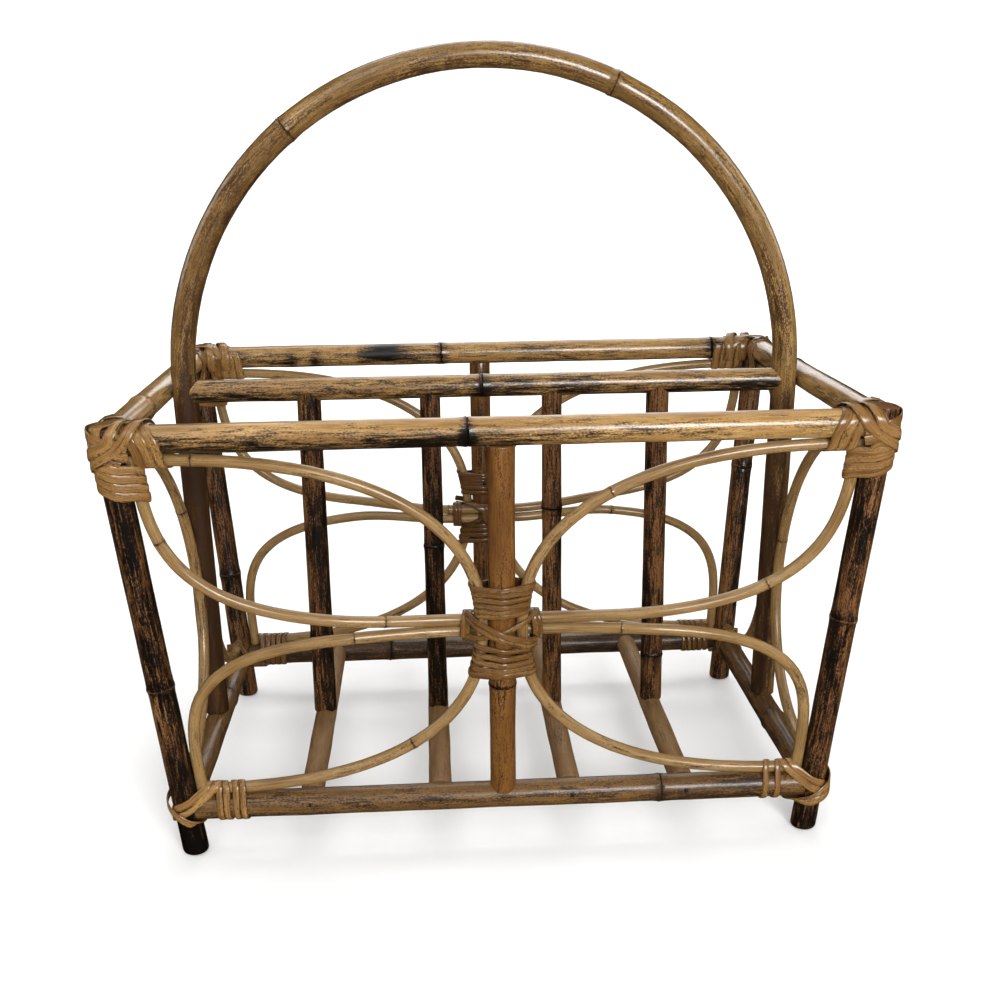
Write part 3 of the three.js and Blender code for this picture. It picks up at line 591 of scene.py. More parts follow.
# The handle.
HANDLE_SEAT = BASE_HEIGHT + RAIL_RADIUS - HANDLE_NOTCH + CLEARANCE
HANDLE_AT_RIM = RIM_LENGTH / 2 - RAIL_RADIUS - CLEARANCE - HANDLE_RADIUS
HANDLE_SLOPE = (HANDLE_AT_RIM - BASE_LENGTH / 2) / (RIM_HEIGHT - HANDLE_SEAT)
ARCH_CENTRE = RIM_HEIGHT + ARCH_RISE
ARCH_HEIGHT = OVERALL_HEIGHT - HANDLE_RADIUS - ARCH_CENTRE
HANDLE_RING_DEGREES = [129.3, 65.8]
HANDLE_STEP = 0.004
HANDLE_UNEVENNESS = (0.0006, 0.035)
ARCH_STEPS = 90
HANDLE_LEG_STEPS = 20
# How the handle is scorched: more on its inner side and left end, less past the first ring and on
# the right. It is also darker from a little above the rim down. Lengths are along the pole.
HANDLE_LOOK = dict(level=0.43, joint_gain=0.05, ring_gain=0.35)
INNER_GAIN = 0.13
PALE_BAND, PALE_LOSS = 0.013, 0.25
LEFT_FADE_START, LEFT_FADE, LEFT_GAIN = 0.04, 0.1, 0.12
RIGHT_FADE, RIGHT_LOSS = 0.12, 0.08
LOW_ABOVE_RIM, LOW_FADE, LOW_GAIN = 0.016, 0.022, 0.30


def handle_leg_at(side, height):
    return Vector((side * (BASE_LENGTH / 2 + (height - HANDLE_SEAT) * HANDLE_SLOPE), 0, height))


ARCH_REACH = sqrt(handle_leg_at(1, ARCH_CENTRE).x ** 2 - (HANDLE_SLOPE * ARCH_HEIGHT) ** 2)
ARCH_TURN = atan2(HANDLE_SLOPE * ARCH_HEIGHT, ARCH_REACH)


def arch_point(angle):
    return Vector((ARCH_REACH * cos(angle), 0, ARCH_CENTRE + ARCH_HEIGHT * sin(angle)))


def handle():
    first_angle = pi + ARCH_TURN
    whole = pi + 2 * ARCH_TURN
    foot = handle_leg_at(-1, HANDLE_SEAT)
    arch = [arch_point(first_angle - whole * i / ARCH_STEPS) for i in range(ARCH_STEPS + 1)]
    rise = [foot.lerp(arch[0], i / HANDLE_LEG_STEPS) for i in range(HANDLE_LEG_STEPS)]
    fall = [Vector((-p.x, 0, p.z)) for p in reversed(rise)]
    route = rise + arch + fall
    length = length_of(route)
    rings = [HANDLE_LEG_STEPS + round((first_angle - radians(degrees)) / whole * ARCH_STEPS)
             for degrees in HANDLE_RING_DEGREES]
    joints = [length_of(route[: ring + 1]) for ring in rings]
    rod = straight_rod("handle_pole", length, HANDLE_RADIUS, joints, step=HANDLE_STEP)
    places = keep_grain(rod, 40)
    roughen(rod, *HANDLE_UNEVENNESS)
    follow(rod, route)
    rim_place = length_of(rise) * (RIM_HEIGHT - HANDLE_SEAT) / (ARCH_CENTRE - HANDLE_SEAT)
    shade = scorch_and_shade_by(length, joints, **HANDLE_LOOK)

    def scorch_and_shade_at(place, normal):
        turn = pi * (1 - held((place - rim_place) / (length - 2 * rim_place)))
        inner = Vector((-cos(turn), 0, -sin(turn)))
        value = shade(place, normal) + INNER_GAIN * normal.dot(inner)
        value -= PALE_LOSS * near(place, joints[0] + PALE_BAND, PALE_BAND)
        value += LEFT_GAIN * smoothstep(joints[0] + LEFT_FADE_START - place, 0, LEFT_FADE)
        value -= RIGHT_LOSS * smoothstep(place - joints[1], 0, RIGHT_FADE)
        low = rim_place + LOW_ABOVE_RIM - min(place, length - place)
        return value + LOW_GAIN * smoothstep(low, 0, LOW_FADE)

    finish_rod(rod, handle_skin, "pole", "handle", places, scorch_and_shade_at)


# The divider, with the slats under it.
SLAT_HEIGHT = BASE_HEIGHT + SLAT_RISE
SLAT_PLACES = [share * BASE_LENGTH / 2 for share in SPINDLE_PLACE_SHARES]
SPINDLE_FOOT = SLAT_HEIGHT + SLAT_RADIUS - SPINDLE_NOTCH + CLEARANCE
# The divider is darker low in front: partly scorch, partly painted shade.
DIVIDER_LOOKS = [0.49], dict(level=0.48, dark=(FRONT_LOW, 0.14), joint_gain=0.2)
SLAT_LOOKS = [], dict(level=0.28)
SPINDLE_LOOKS = [
    ([0.24], dict(level=0.57, dark=((1, 0, 0), 0.08))),
    ([0.52], dict(level=0.62, dark=((1, 0, 0), 0.03))),
    ([0.63], dict(level=0.55, dark=((1, 0, 0), 0.06))),
    ([0.15], dict(level=0.53, dark=((-1, 0, 0), 0.06))),
]


def divider():
    ends = [handle_leg_at(side, RIM_HEIGHT) for side in (-1, 1)]
    heights = (RIM_HEIGHT - CUT_OVERRUN, RIM_HEIGHT + CUT_OVERRUN)
    copes = [(*(handle_leg_at(side, height) for height in heights), HANDLE_RADIUS) for side in (-1, 1)]
    pole("divider_rail", *ends, DIVIDER_RADIUS, *DIVIDER_LOOKS, torched, "pole", 50, copes)
    half_run = BASE_DEPTH / 2 - RAIL_RADIUS * COPE_REACH_SHARE
    rail_copes = [long_rail_cope(side_y, BASE_HEIGHT) for _, side_y in SIDES_Y]
    for i, (x, radius, looks) in enumerate(zip(SLAT_PLACES, SPINDLE_RADII, SPINDLE_LOOKS)):
        pole(f"spindle_{i + 1}", Vector((x, 0, SPINDLE_FOOT)), Vector((x, 0, RIM_HEIGHT)), radius, *looks,
             scorched, "scorched_pole", 60 + i, [(*ends, DIVIDER_RADIUS)])
        pole(f"floor_slat_{i + 1}", Vector((x, -half_run, SLAT_HEIGHT)), Vector((x, half_run, SLAT_HEIGHT)),
             SLAT_RADIUS, *SLAT_LOOKS, slat_skin, "plain_pole", 70 + i, rail_copes)


# Cane work.
WAIST_HEIGHT = BASE_HEIGHT + FLARE * WAIST_HEIGHT_SHARE
BESIDE_CANE = CLEARANCE + CANE_RADIUS
CANE_UNDER_RIM = RIM_HEIGHT - RAIL_RADIUS - BESIDE_CANE
CANE_OVER_BASE = BASE_HEIGHT + RAIL_RADIUS + BESIDE_CANE
LEVEL_END_AT_RIM = RIM_HEIGHT - RAIL_RADIUS - CLEARANCE
LEVEL_END_AT_BASE = BASE_HEIGHT + RAIL_RADIUS + CLEARANCE
BESIDE_LEG = LEG_RADIUS + BESIDE_CANE
BESIDE_POST = POST_RADIUS + BESIDE_CANE
LEVEL_HALF_GAP = BESIDE_CANE - CLEARANCE / 2
LOOP_REACH = 0.023
LEVEL_SAG = 0.003
POST_FOOT_TRIM = 0.0045
POST_TOP_TRIM = 0.0072
HANDLE_TO_CANE = half_length_at(WAIST_HEIGHT) - SIDE_CANE_INSET - handle_leg_at(1, WAIST_HEIGHT).x
BESIDE_HANDLE = sqrt((HANDLE_RADIUS + BESIDE_CANE) ** 2 - HANDLE_TO_CANE ** 2)
BOW_STEPS = 64
LEVEL_STEPS = 110
SAME_POINT = 1e-6
CANE_STEP = 0.004
CANE_BEVEL = 0.0004
CANE_UNEVENNESS = (0.0003, 0.03)
# Canes are darker underneath: partly scorch, partly painted shade.
CANE_LOOK = dict(dark=(DOWN, 0.07), joint_gain=0.1, joint_width=0.004)
UPRIGHT_BOW_LEVEL, LEVEL_BOW_LEVEL, SIDE_BOW_LEVEL = 0.27, 0.25, 0.33


def squared_quarter(exponent, share):
    x, y = abs(cos(share * QUARTER)), abs(sin(share * QUARTER))
    size = (x ** exponent + y ** exponent) ** (-1 / exponent)
    return x * size, y * size


def upright_bow(side, nearest, end_at, place):
    points = []
    for i in range(BOW_STEPS + 1):
        share = i / BOW_STEPS
        end = CANE_UNDER_RIM if share < 0.5 else CANE_OVER_BASE
        near_share, along = squared_quarter(UPRIGHT_BOW_EXPONENT, abs(1 - 2 * share))
        out = nearest + (end_at(end) - nearest) * (1 - near_share)
        points.append(place(side * out, WAIST_HEIGHT + (end - WAIST_HEIGHT) * along))
    return points


def level_bow(exponent, end_height, middle_height, place):
    points = []
    for i in range(LEVEL_STEPS + 1):
        share = i / LEVEL_STEPS
        side = -1 if share < 0.5 else 1
        far, along = squared_quarter(exponent, 1 - abs(1 - 2 * share))
        height = end_height + (middle_height - end_height) * along
        points.append(place(side * far * (half_length_at(height) - BESIDE_LEG), height))
    return points


UPPER_BOW = (UPPER_BOW_EXPONENT, LEVEL_END_AT_RIM, WAIST_HEIGHT + LEVEL_HALF_GAP)
LOWER_BOW = (LOWER_BOW_EXPONENT, LEVEL_END_AT_BASE, WAIST_HEIGHT - LEVEL_HALF_GAP)


def long_bow_end(height):
    return half_length_at(height) - BESIDE_LEG - CANE_RADIUS - CLEARANCE


def side_bow_end(height):
    return half_depth_at(height) - LEG_RADIUS - 2 * CLEARANCE


CANE_JOINT_SHARES = {
    "front_left_bow": [0.06, 0.72], "front_right_bow": [0.3], "front_upper_level": [0.1, 0.37, 0.8],
    "front_lower_level": [0.33, 0.64], "back_left_bow": [0.4], "back_right_bow": [0.55],
    "back_upper_level": [0.45], "back_lower_level": [0.7], "left_front_side": [0.4],
    "left_back_side": [0.6], "right_front_side": [0.5], "right_back_side": [0.3],
}
POST_LOOKS = {"front": ([0.33], dict(level=0.3)), "back": ([0.79], dict(level=0.43))}


def cane(key, points, level, seed):
    points = [p for i, p in enumerate(points) if i == 0 or (p - points[i - 1]).length > SAME_POINT]
    length = length_of(points)
    joints = [share * length for share in CANE_JOINT_SHARES[key]]
    rod = straight_rod(f"{key}_cane_rod", length, CANE_RADIUS, joints, CANE_SIDES, CANE_STEP, CANE_BEVEL,
                       CANE_JOINT_SHARE)
    places = keep_grain(rod, seed)
    roughen(rod, *CANE_UNEVENNESS)
    follow(rod, points)
    finish_rod(rod, cane_skin, "cane", f"{key}_cane", places, scorch_and_shade_by(length, joints, level, **CANE_LOOK))


def cane_work():
    seeds = count(80)
    for name_y, side_y in SIDES_Y:
        def in_panel(x, height):
            return Vector((x, side_y * half_depth_at(height), height))

        def behind_post(x, height):
            back = LEVEL_CANE_RETURN_SHARE * half_length_at(height)
            share = 1 - smoothstep(abs(x), LOOP_REACH, back)
            return in_panel(x, height) - Vector((0, side_y * BESIDE_POST, LEVEL_SAG)) * share

        copes = [long_rail_cope(side_y, height) for height in (BASE_HEIGHT, RIM_HEIGHT)]
        ends = in_panel(0, BASE_HEIGHT + POST_FOOT_TRIM), in_panel(0, RIM_HEIGHT - POST_TOP_TRIM)
        pole(f"{name_y}_post", *ends, POST_RADIUS, *POST_LOOKS[name_y], honey, "pole", next(seeds), copes)
        for name_x, side_x in SIDES_X:
            bow = upright_bow(side_x, BESIDE_POST, long_bow_end, in_panel)
            cane(f"{name_y}_{name_x}_bow", bow, UPRIGHT_BOW_LEVEL, next(seeds))
        for name, bow in (("upper", UPPER_BOW), ("lower", LOWER_BOW)):
            cane(f"{name_y}_{name}_level", level_bow(*bow, behind_post), LEVEL_BOW_LEVEL, next(seeds))
    for name_x, side_x in SIDES_X:
        def in_side(y, height):
            share = (height - CANE_OVER_BASE) / (CANE_UNDER_RIM - CANE_OVER_BASE)
            inset = SIDE_CANE_INSET * sin(pi * share)
            return Vector((side_x * (half_length_at(height) - inset), y, height))

        for name_y, side_y in SIDES_Y:
            bow = upright_bow(side_y, BESIDE_HANDLE, side_bow_end, in_side)
            cane(f"{name_x}_{name_y}_side", bow, SIDE_BOW_LEVEL, next(seeds))


# Lashings of split cane. They are wound by a loop, because no modelling step winds a strip.
STRIP_THICKNESS = 0.0009
STRIP_GAP = 0.0003
OVER = STRIP_THICKNESS + STRIP_GAP
STRIP_STEP = 0.0013
WIND_STEPS = 26
BEND_STEP_DEGREES = 12
EASINGS = 4
# The strip's section, flat below and gently round above, as shares of its width and thickness.
STRIP_SHARES = [(-0.5, 0.25), (-0.45, 0.0), (0.45, 0.0), (0.5, 0.25), (0.46, 0.66), (0.28, 0.93), (0.0, 1.0),
                (-0.28, 0.93), (-0.46, 0.66)]
# Two slow waves in the strip's width: share, radians a metre, and how far the seed shifts them.
WIDTH_WAVES = [(0.05, 90, 1), (0.03, 233, 2)]
# Strip edges past this share are darker: partly their own browner edges, partly painted crease shade.
EDGE_SHARE = 0.4
EDGE_SCORCH_AND_CREASE_SHADE = 0.16


def evened(stations):
    """Stations a fixed step apart, with the way out carried along, and corners eased."""
    points, outs = [stations[0][0]], [stations[0][1]]
    for (a, out_a), (b, out_b) in zip(stations, stations[1:]):
        parts = max(1, round((b - a).length / STRIP_STEP))
        for n in range(1, parts + 1):
            points.append(a.lerp(b, n / parts))
            outs.append(out_a.lerp(out_b, n / parts))
    for _ in range(EASINGS):
        for row in (points, outs):
            row[1:-1] = [(row[i - 1] + 2 * row[i] + row[i + 1]) / 4 for i in range(1, len(row) - 1)]
    return list(zip(points, outs))


def wind_strip(mesh, seed, stations, width, level, thickness=STRIP_THICKNESS):
    grain = mesh.verts.layers.float_vector["grain"]
    scorch = mesh.verts.layers.float["scorch"]
    shift = Vector((seed * 1.71, seed * 0.37, seed * 0.83))
    rings = []
    run = 0.0
    for i, (point, out) in enumerate(stations):
        before, after = stations[max(i - 1, 0)][0], stations[min(i + 1, len(stations) - 1)][0]
        run += (point - before).length
        side = (after - before).normalized().cross(out).normalized()
        up = side.cross((after - before).normalized())
        wide = width * (1 + sum(share * sin(run * waves + n * seed) for share, waves, n in WIDTH_WAVES))
        rings.append([])
        for across, height in STRIP_SHARES:
            vert = mesh.verts.new(point + side * across * wide + up * height * thickness)
            vert[grain] = Vector((run, across * wide, height * thickness)) + shift
            # Darker edges: partly the strip's own browner edges, partly painted shade in the creases.
            vert[scorch] = level + (EDGE_SCORCH_AND_CREASE_SHADE if abs(across) > EDGE_SHARE else 0.0)
            rings[-1].append(vert)
    for a, b in zip(rings, rings[1:]):
        for k in range(len(STRIP_SHARES)):
            mesh.faces.new((a[k - 1], a[k], b[k], b[k - 1]))
    mesh.faces.new(rings[0])
    mesh.faces.new(rings[-1])


def lashing(name, strips, side_x, side_y, origin, material):
    """One lashing at its place, from its strips: stations, width, scorch level and thickness."""
    def put(v):
        return Vector((-side_x * v.x, side_y * v.y, v.z))

    mesh = bmesh.new()
    mesh.verts.layers.float_vector.new("grain")
    mesh.verts.layers.float.new("scorch")
    seed = sum(ord(letter) for letter in name)
    for i, (stations, *strip) in enumerate(strips):
        placed = [(put(point) + origin, put(out)) for point, out in stations]
        wind_strip(mesh, seed + 7 * i, evened(placed), *strip)
    bmesh.ops.recalc_face_normals(mesh, faces=mesh.faces)
    data = bpy.data.meshes.new(name + "_strips")
    mesh.to_mesh(data)
    mesh.free()
    finish(new_object(name + "_strips", data), material, "split_cane", name)


def station(put, place, centre, angle, reach):
    """A point at an angle on a circle in a plane, and the way out from it."""
    out = (cos(angle), sin(angle))
    return put(place, (centre[0] + out[0] * reach, centre[1] + out[1] * reach)), put(0, out) - put(0, (0, 0))


def winding(circles_at, put, turns, start, first=0.0, pitch=0.0, sine=0.0, cosine=0.0, waves=1, creep=0.0,
            inside=0.0, way=-1, lift=0.0):
    """Stations of a strip wound taut round circles in a plane, from a start in quarter turns.

    It drifts across by its pitch each turn, and sways with the angle."""
    stations = []
    for n in range(round(turns * WIND_STEPS) + 1):
        turn = n / WIND_STEPS
        angle = start * QUARTER + way * 2 * pi * turn
        x, y = cos(angle), sin(angle)
        sway = sine * y + cosine * cos(waves * angle + creep * turn) + inside * max(0.0, -x)
        place = first + pitch * turn + sway
        centre, radius = max(circles_at(place), key=lambda c: c[0][0] * x + c[0][1] * y + c[1])
        stations.append(station(put, place, centre, angle, radius + STRIP_GAP + lift))
    return stations


def around(centre, radius, first, last, lift, place_at, put):
    """Stations on part of a circle, from one angle to another, in degrees."""
    stations = []
    parts = max(2, round(abs(last - first) / BEND_STEP_DEGREES))
    for n in range(parts + 1):
        angle = radians(first + (last - first) * n / parts)
        place = place_at(n / parts)
        stations.append(station(put, place, centre(place), angle, radius + STRIP_GAP + lift))
    return stations


def sloped(first, last):
    return lambda share: first + (last - first) * share


# A corner's own directions: inward along the long rail from the leg's axis, outward from the long
# side, and up from the rails' axes.
def on_long_rail(place, at):
    return Vector((place, at[0], at[1]))


def on_side_rail(place, at):
    return Vector((at[0], -place, at[1]))


def on_leg(place, at):
    return Vector((at[0], at[1], place))


def rail_middle(place):
    return (0, 0)


def leg_middle(up):
    return (-LENGTH_LEAN * up, DEPTH_LEAN * up)


def partner(share, exponent=UPRIGHT_BOW_EXPONENT):
    """The other coordinate of a point on a squared quarter circle."""
    return (1 - held(share) ** exponent) ** (1 / exponent)


def bow_height_at(out, end, nearest, end_at):
    return WAIST_HEIGHT + (end - WAIST_HEIGHT) * partner(1 - (out - nearest) / (end_at(end) - nearest))


def bow_out_at(height, nearest, end_at):
    end = CANE_UNDER_RIM if height > WAIST_HEIGHT else CANE_OVER_BASE
    share = 1 - partner((height - WAIST_HEIGHT) / (end - WAIST_HEIGHT))
    return nearest + (end_at(end) - nearest) * share


def level_bow_inset(exponent, end_height, middle_height, height):
    far = partner((height - end_height) / (middle_height - end_height), exponent)
    return half_length_at(height) - far * (half_length_at(height) - BESIDE_LEG)


def level_ends(length, depth, level_height, cane_end, bow):
    """The circles that strips go round at one level: both rails and the leg, each with its cane."""
    def rail_and_cane(half, cane_starts, nearest, end_at, lean):
        def circles(place):
            found = [((0, 0), RAIL_RADIUS)]
            if place > cane_starts:
                up = bow_height_at(half - place, cane_end, nearest, end_at) - level_height
                found.append(((lean * up, up), CANE_RADIUS))
            return found

        return circles

    def leg_and_cane(up):
        inset = level_bow_inset(*bow, level_height + up)
        return [(leg_middle(up), LEG_RADIUS), ((inset - LENGTH_LEAN * up, DEPTH_LEAN * up), CANE_RADIUS)]

    long_rail = rail_and_cane(length / 2, BESIDE_LEG, BESIDE_POST, long_bow_end, DEPTH_LEAN)
    side_rail = rail_and_cane(depth / 2, LEG_RADIUS, BESIDE_HANDLE, side_bow_end, -LENGTH_LEAN)
    return long_rail, side_rail, leg_and_cane


# Strips from the side rail round the leg: degrees on the rail, height at the leg and scorch level.
RIM_BENDS = [(60, 145, 0.0062, 0.27), (85, 167, 0.0010, 0.30), (110, 189, -0.0042, 0.33)]
BEND_START, BEND_END, BEND_LOW = 0.000425, 0.006375, 0.0085
# Slanting strips on top: first and last place on the rail, first and last height at the leg, the
# degrees where they leave the rail and meet the leg, how far they lie over the rest, and scorch level.
RIM_SLANTS = [(0.0118, 0.0040, -0.0005, -0.0122, 18, 74, 2.1, 0.22),
              (0.0228, 0.0118, -0.0050, -0.0198, 8, 64, 1.9, 0.26)]
SLANT_GROWTH, SLANT_EXPONENT = 1.6, 1.4
# The degrees where strips over the sawn top start on the leg, and the pitch of the winding down it.
RIM_CORNERS = {"left": ((218, 180, 146, 114), -0.0051), "right": ((224,), -0.0043)}
NARROW, MEDIUM, BROAD, BROADEST = 0.0054, 0.0056, 0.0058, 0.0064


def over_top(degrees):
    """A strip from the leg's outer side over its sawn top to behind the rail."""
    top = LEG_TOP - RIM_HEIGHT + 2 * STRIP_GAP
    side = Vector((cos(radians(degrees)), sin(radians(degrees)), 0))
    edge, outward, _ = side * (LEG_RADIUS + STRIP_GAP)
    path = [
        (edge, outward, -0.010, side), (edge, outward, 0.004, side),
        (edge - 0.0001, outward, top - 0.0016, side),
        (edge + 0.0012, outward, top + 0.0003, side + UP), (edge / 2, outward * 0.9, top + 0.0007, UP),
        (0.004, outward * 0.7 - 0.001, top + 0.0014, UP),
        (0.012, outward * 0.5 - 0.0035, RAIL_RADIUS + OVER, Vector((0, -0.2, 1))),
        (0.018, -0.0082, 0.0045, Vector((0, -0.8, 0.5))), (0.0195, -0.0093, 0.0008, Vector((0, -1, 0))),
    ]
    return [(Vector(at), out.normalized()) for *at, out in path]


def rim_corner(top_degrees, leg_pitch):
    """The strips at a corner of the rim."""
    long_rail, side_rail, leg_and_cane = level_ends(
        RIM_LENGTH, RIM_DEPTH, RIM_HEIGHT, CANE_UNDER_RIM, UPPER_BOW)
    strips = [
        (winding(long_rail, on_long_rail, turns=3.3, start=-1, first=0.0105, pitch=0.0056, sine=-0.0039,
                 inside=0.0025), MEDIUM, 0.26),
        (winding(side_rail, on_side_rail, turns=2.4, start=-1, first=0.0125, pitch=0.0057, way=1),
         NARROW, 0.30),
        (winding(leg_and_cane, on_leg, turns=3.8, start=2, first=-0.0128, pitch=leg_pitch, cosine=-0.0030,
                 lift=OVER), NARROW, 0.28),
    ]
    for k, (first, last, high, level) in enumerate(RIM_BENDS):
        low = high - BEND_LOW
        start = around(rail_middle, RAIL_RADIUS, first, last, OVER, sloped(0.019, 0.011), on_side_rail)
        bend = around(leg_middle, LEG_RADIUS, 185, 84, OVER, sloped(high - BEND_START, high - BEND_END),
                      on_leg)
        tail = [((0.0062, RAIL_RADIUS + STRIP_GAP, low), (0, 1, 0)),
                ((0.0125, RAIL_RADIUS - 0.0002, low - 0.0012), (0, 1, -0.1))]
        if k == len(RIM_BENDS) - 1:
            tail = [((0.0075, RAIL_RADIUS - 0.0016, low - 0.0006), (0, 1, -0.5))]
        tail = [(Vector(at), Vector(out)) for at, out in tail]
        strips.append((start + bend + tail, BROAD, level))
    for upper, lower, first, last, leaves, meets, lifts, level in RIM_SLANTS:
        def along_rail(share):
            return upper + (lower - upper) * held(1 - SLANT_GROWTH * (1 - share)) ** SLANT_EXPONENT

        across = around(rail_middle, RAIL_RADIUS, 250, leaves, 2 * OVER, along_rail, on_long_rail)
        behind = around(leg_middle, LEG_RADIUS, meets, 300, lifts * OVER,
                        lambda share: first + (last - first) * sin(share * QUARTER), on_leg)
        strips.append((across + behind, BROADEST, level))
    return strips + [(over_top(degrees), BROAD, 0.25) for degrees in top_degrees]


# Loops on the long base rail: place and turns.
BASE_DOUBLE_LOOPS = [(0.0185, 1.9), (0.0285, 1.9)]
BASE_SINGLE_LOOPS = [(0.0205, 1.1), (0.0280, 1.1)]
BASE_BACK_LOOPS = [(0.0165, 4.9)]
LOOP_WIDTH, BASE_SIDE_WIDTH, BASE_WIDTH = 0.0040, 0.00425, 0.00475
# Strips from the upright bow cane round the leg: place on the cane, height at the leg, lift and level.
BASE_SLANTS = [(0.0160, 0.0062, 0.0002, 0.18), (0.0213, 0.0010, 0.0008, 0.21)]
# Strips that run down over the leg to under the rail: how far they lie over the rest, the height
# where they start, how far they drop toward their end, and their place under the rail.
BASE_CROSSINGS = [(1.9, 0.0108, 0.0125, 0.0072), (2.25, 0.0062, 0.0085, 0.0107),
                  (2.6, 0.0016, 0.0045, 0.0142)]
EVEN_DROP, UNDER_RUN = 0.0065, 0.005


def base_corner(loops, crossings):
    """The strips at a corner of the base: loops on the rails, two slanting over the leg, some under it."""
    long_rail, side_rail, _ = level_ends(BASE_LENGTH, BASE_DEPTH, BASE_HEIGHT, CANE_OVER_BASE, LOWER_BOW)
    bow_out = BASE_LENGTH / 2 - BESIDE_LEG - CANE_RADIUS
    top = bow_height_at(bow_out, CANE_OVER_BASE, BESIDE_POST, long_bow_end) - BASE_HEIGHT
    strips = []
    for first, turns in loops:
        strips.append((winding(long_rail, on_long_rail, turns, 2.6, first, pitch=0.0042, cosine=0.0004),
                       LOOP_WIDTH, 0.28))
    strips.append((winding(side_rail, on_side_rail, turns=2.2, start=2.6, first=0.0125, pitch=0.0054),
                   BASE_SIDE_WIDTH, 0.26))
    for inward, high, lift, level in BASE_SLANTS:
        across = around(lambda place: (DEPTH_LEAN * top, top), CANE_RADIUS, 150, 20, 0.0002,
                        sloped(inward, inward - 0.003), on_long_rail)
        behind = around(leg_middle, LEG_RADIUS, 62, 250, lift, sloped(high, high - 0.0125), on_leg)
        strips.append((across + behind, BASE_WIDTH, level))
    for lifts, high, drop, low in BASE_CROSSINGS[:crossings]:
        def down_leg(share):
            return high - EVEN_DROP * share - drop * share ** 2

        outer = around(leg_middle, LEG_RADIUS, 262, 74, lifts * OVER, down_leg, on_leg)
        under = around(rail_middle, RAIL_RADIUS, 304, 205, OVER, sloped(low, low + UNDER_RUN), on_long_rail)
        strips.append((outer + under, BASE_WIDTH, 0.27))
    return strips


# A long side's own directions at its waist: across from the post's axis, out from the panel, and up
# along the post.
PANEL_UP = Vector((0, DEPTH_LEAN, 1)).normalized()
PANEL_OUT = PANEL_UP.cross(Vector((1, 0, 0)))
LOOP_PLACE = 0.0180
CROSS_REACH = 0.0205
CROSS_END_DEPTH = -0.0052
SLANT_TURNS, BEHIND_TURNS, BEHIND_SHARE = 0.26, 0.62, 0.9
# The strips that slant over the post: side, first and last height, lift, width and scorch level.
CROSSINGS = [(-1, 0.0082, -0.0070, 0.0, 0.0036, 0.28), (1, 0.0092, -0.0098, 0.0013, 0.0039, 0.26),
             (1, 0.0050, -0.0128, 0.0013, 0.0034, 0.3)]


def panel_waist(side_y):
    return Vector((0, side_y * half_depth_at(WAIST_HEIGHT), WAIST_HEIGHT))


def on_panel(up, at):
    return Vector((at[0], 0, 0)) + PANEL_OUT * at[1] + PANEL_UP * up


def on_level_canes(across, at):
    return on_panel(at[1], (across, at[0]))


def middle_strips():
    """The strips where the canes meet the post: a band above, a band below, and a cross with two loops."""
    canes = [Vector((0, -BESIDE_POST, end * LEVEL_HALF_GAP - LEVEL_SAG)) for end in (-1, 1)]
    level_canes = [((axis.dot(PANEL_OUT), axis.dot(PANEL_UP)), CANE_RADIUS) for axis in canes]

    def post_and_bows(up):
        out = bow_out_at(WAIST_HEIGHT + up * PANEL_UP.z, BESIDE_POST, long_bow_end)
        return [((0, 0), POST_RADIUS), ((-out, 0), CANE_RADIUS), ((out, 0), CANE_RADIUS)]

    def slanting(side, first, last, lift):
        """A strip from behind the loop on one side, over the post, to the loop on the other."""
        start = 1 + 2 * SLANT_TURNS * side
        level = winding(post_and_bows, on_panel, SLANT_TURNS, start, way=-side, lift=lift)
        ends = [(on_panel(0, (end * CROSS_REACH, CROSS_END_DEPTH)), on_panel(0, (end * 0.7, 1)))
                for end in (-side, side)]
        stations = []
        for point, out in [ends[0]] + level + [ends[1]]:
            share = (1 + side * point.x / CROSS_REACH) / 2
            stations.append((point + PANEL_UP * (first + (last - first) * share - LEVEL_SAG / 2), out))
        return stations

    def loop(side):
        return winding(lambda place: level_canes, on_level_canes, turns=1.8, start=-1,
                       first=side * LOOP_PLACE, pitch=side * 0.0027, sine=side * -0.0009, lift=0.0012)

    def behind(side, lift):
        """A strip that slants behind the post, over both level canes, from under one loop to the other."""
        reach = side * LOOP_PLACE * BEHIND_SHARE
        return winding(lambda place: level_canes, on_level_canes, BEHIND_TURNS, 2 - 2 * BEHIND_TURNS,
                       first=-reach, pitch=2 * reach / BEHIND_TURNS, way=1, lift=lift)

    upper = winding(post_and_bows, on_panel, 5.6, 1.6, 0.0092, pitch=0.0032, cosine=0.0008, creep=1.0)
    flare = winding(post_and_bows, on_panel, 1.0, 1.5, 0.0268, cosine=0.0016, waves=2)
    lower = winding(post_and_bows, on_panel, 4.4, 1.8, -0.0118, pitch=-0.0041, cosine=-0.0013, creep=-0.7)
    return [(slanting(*slant), width, level, 0.0012) for *slant, width, level in CROSSINGS] + [
        (loop(-1), 0.0036, 0.28, 0.0013), (loop(1), 0.0036, 0.28, 0.0013),
        (behind(-1, 0.0), 0.0048, 0.3, 0.0012), (behind(1, 0.0012), 0.0052, 0.27, 0.0012),
        (upper, 0.0034, 0.3, 0.0010), (flare, 0.0032, 0.32, 0.0012), (lower, 0.0040, 0.3, 0.0016),
    ]


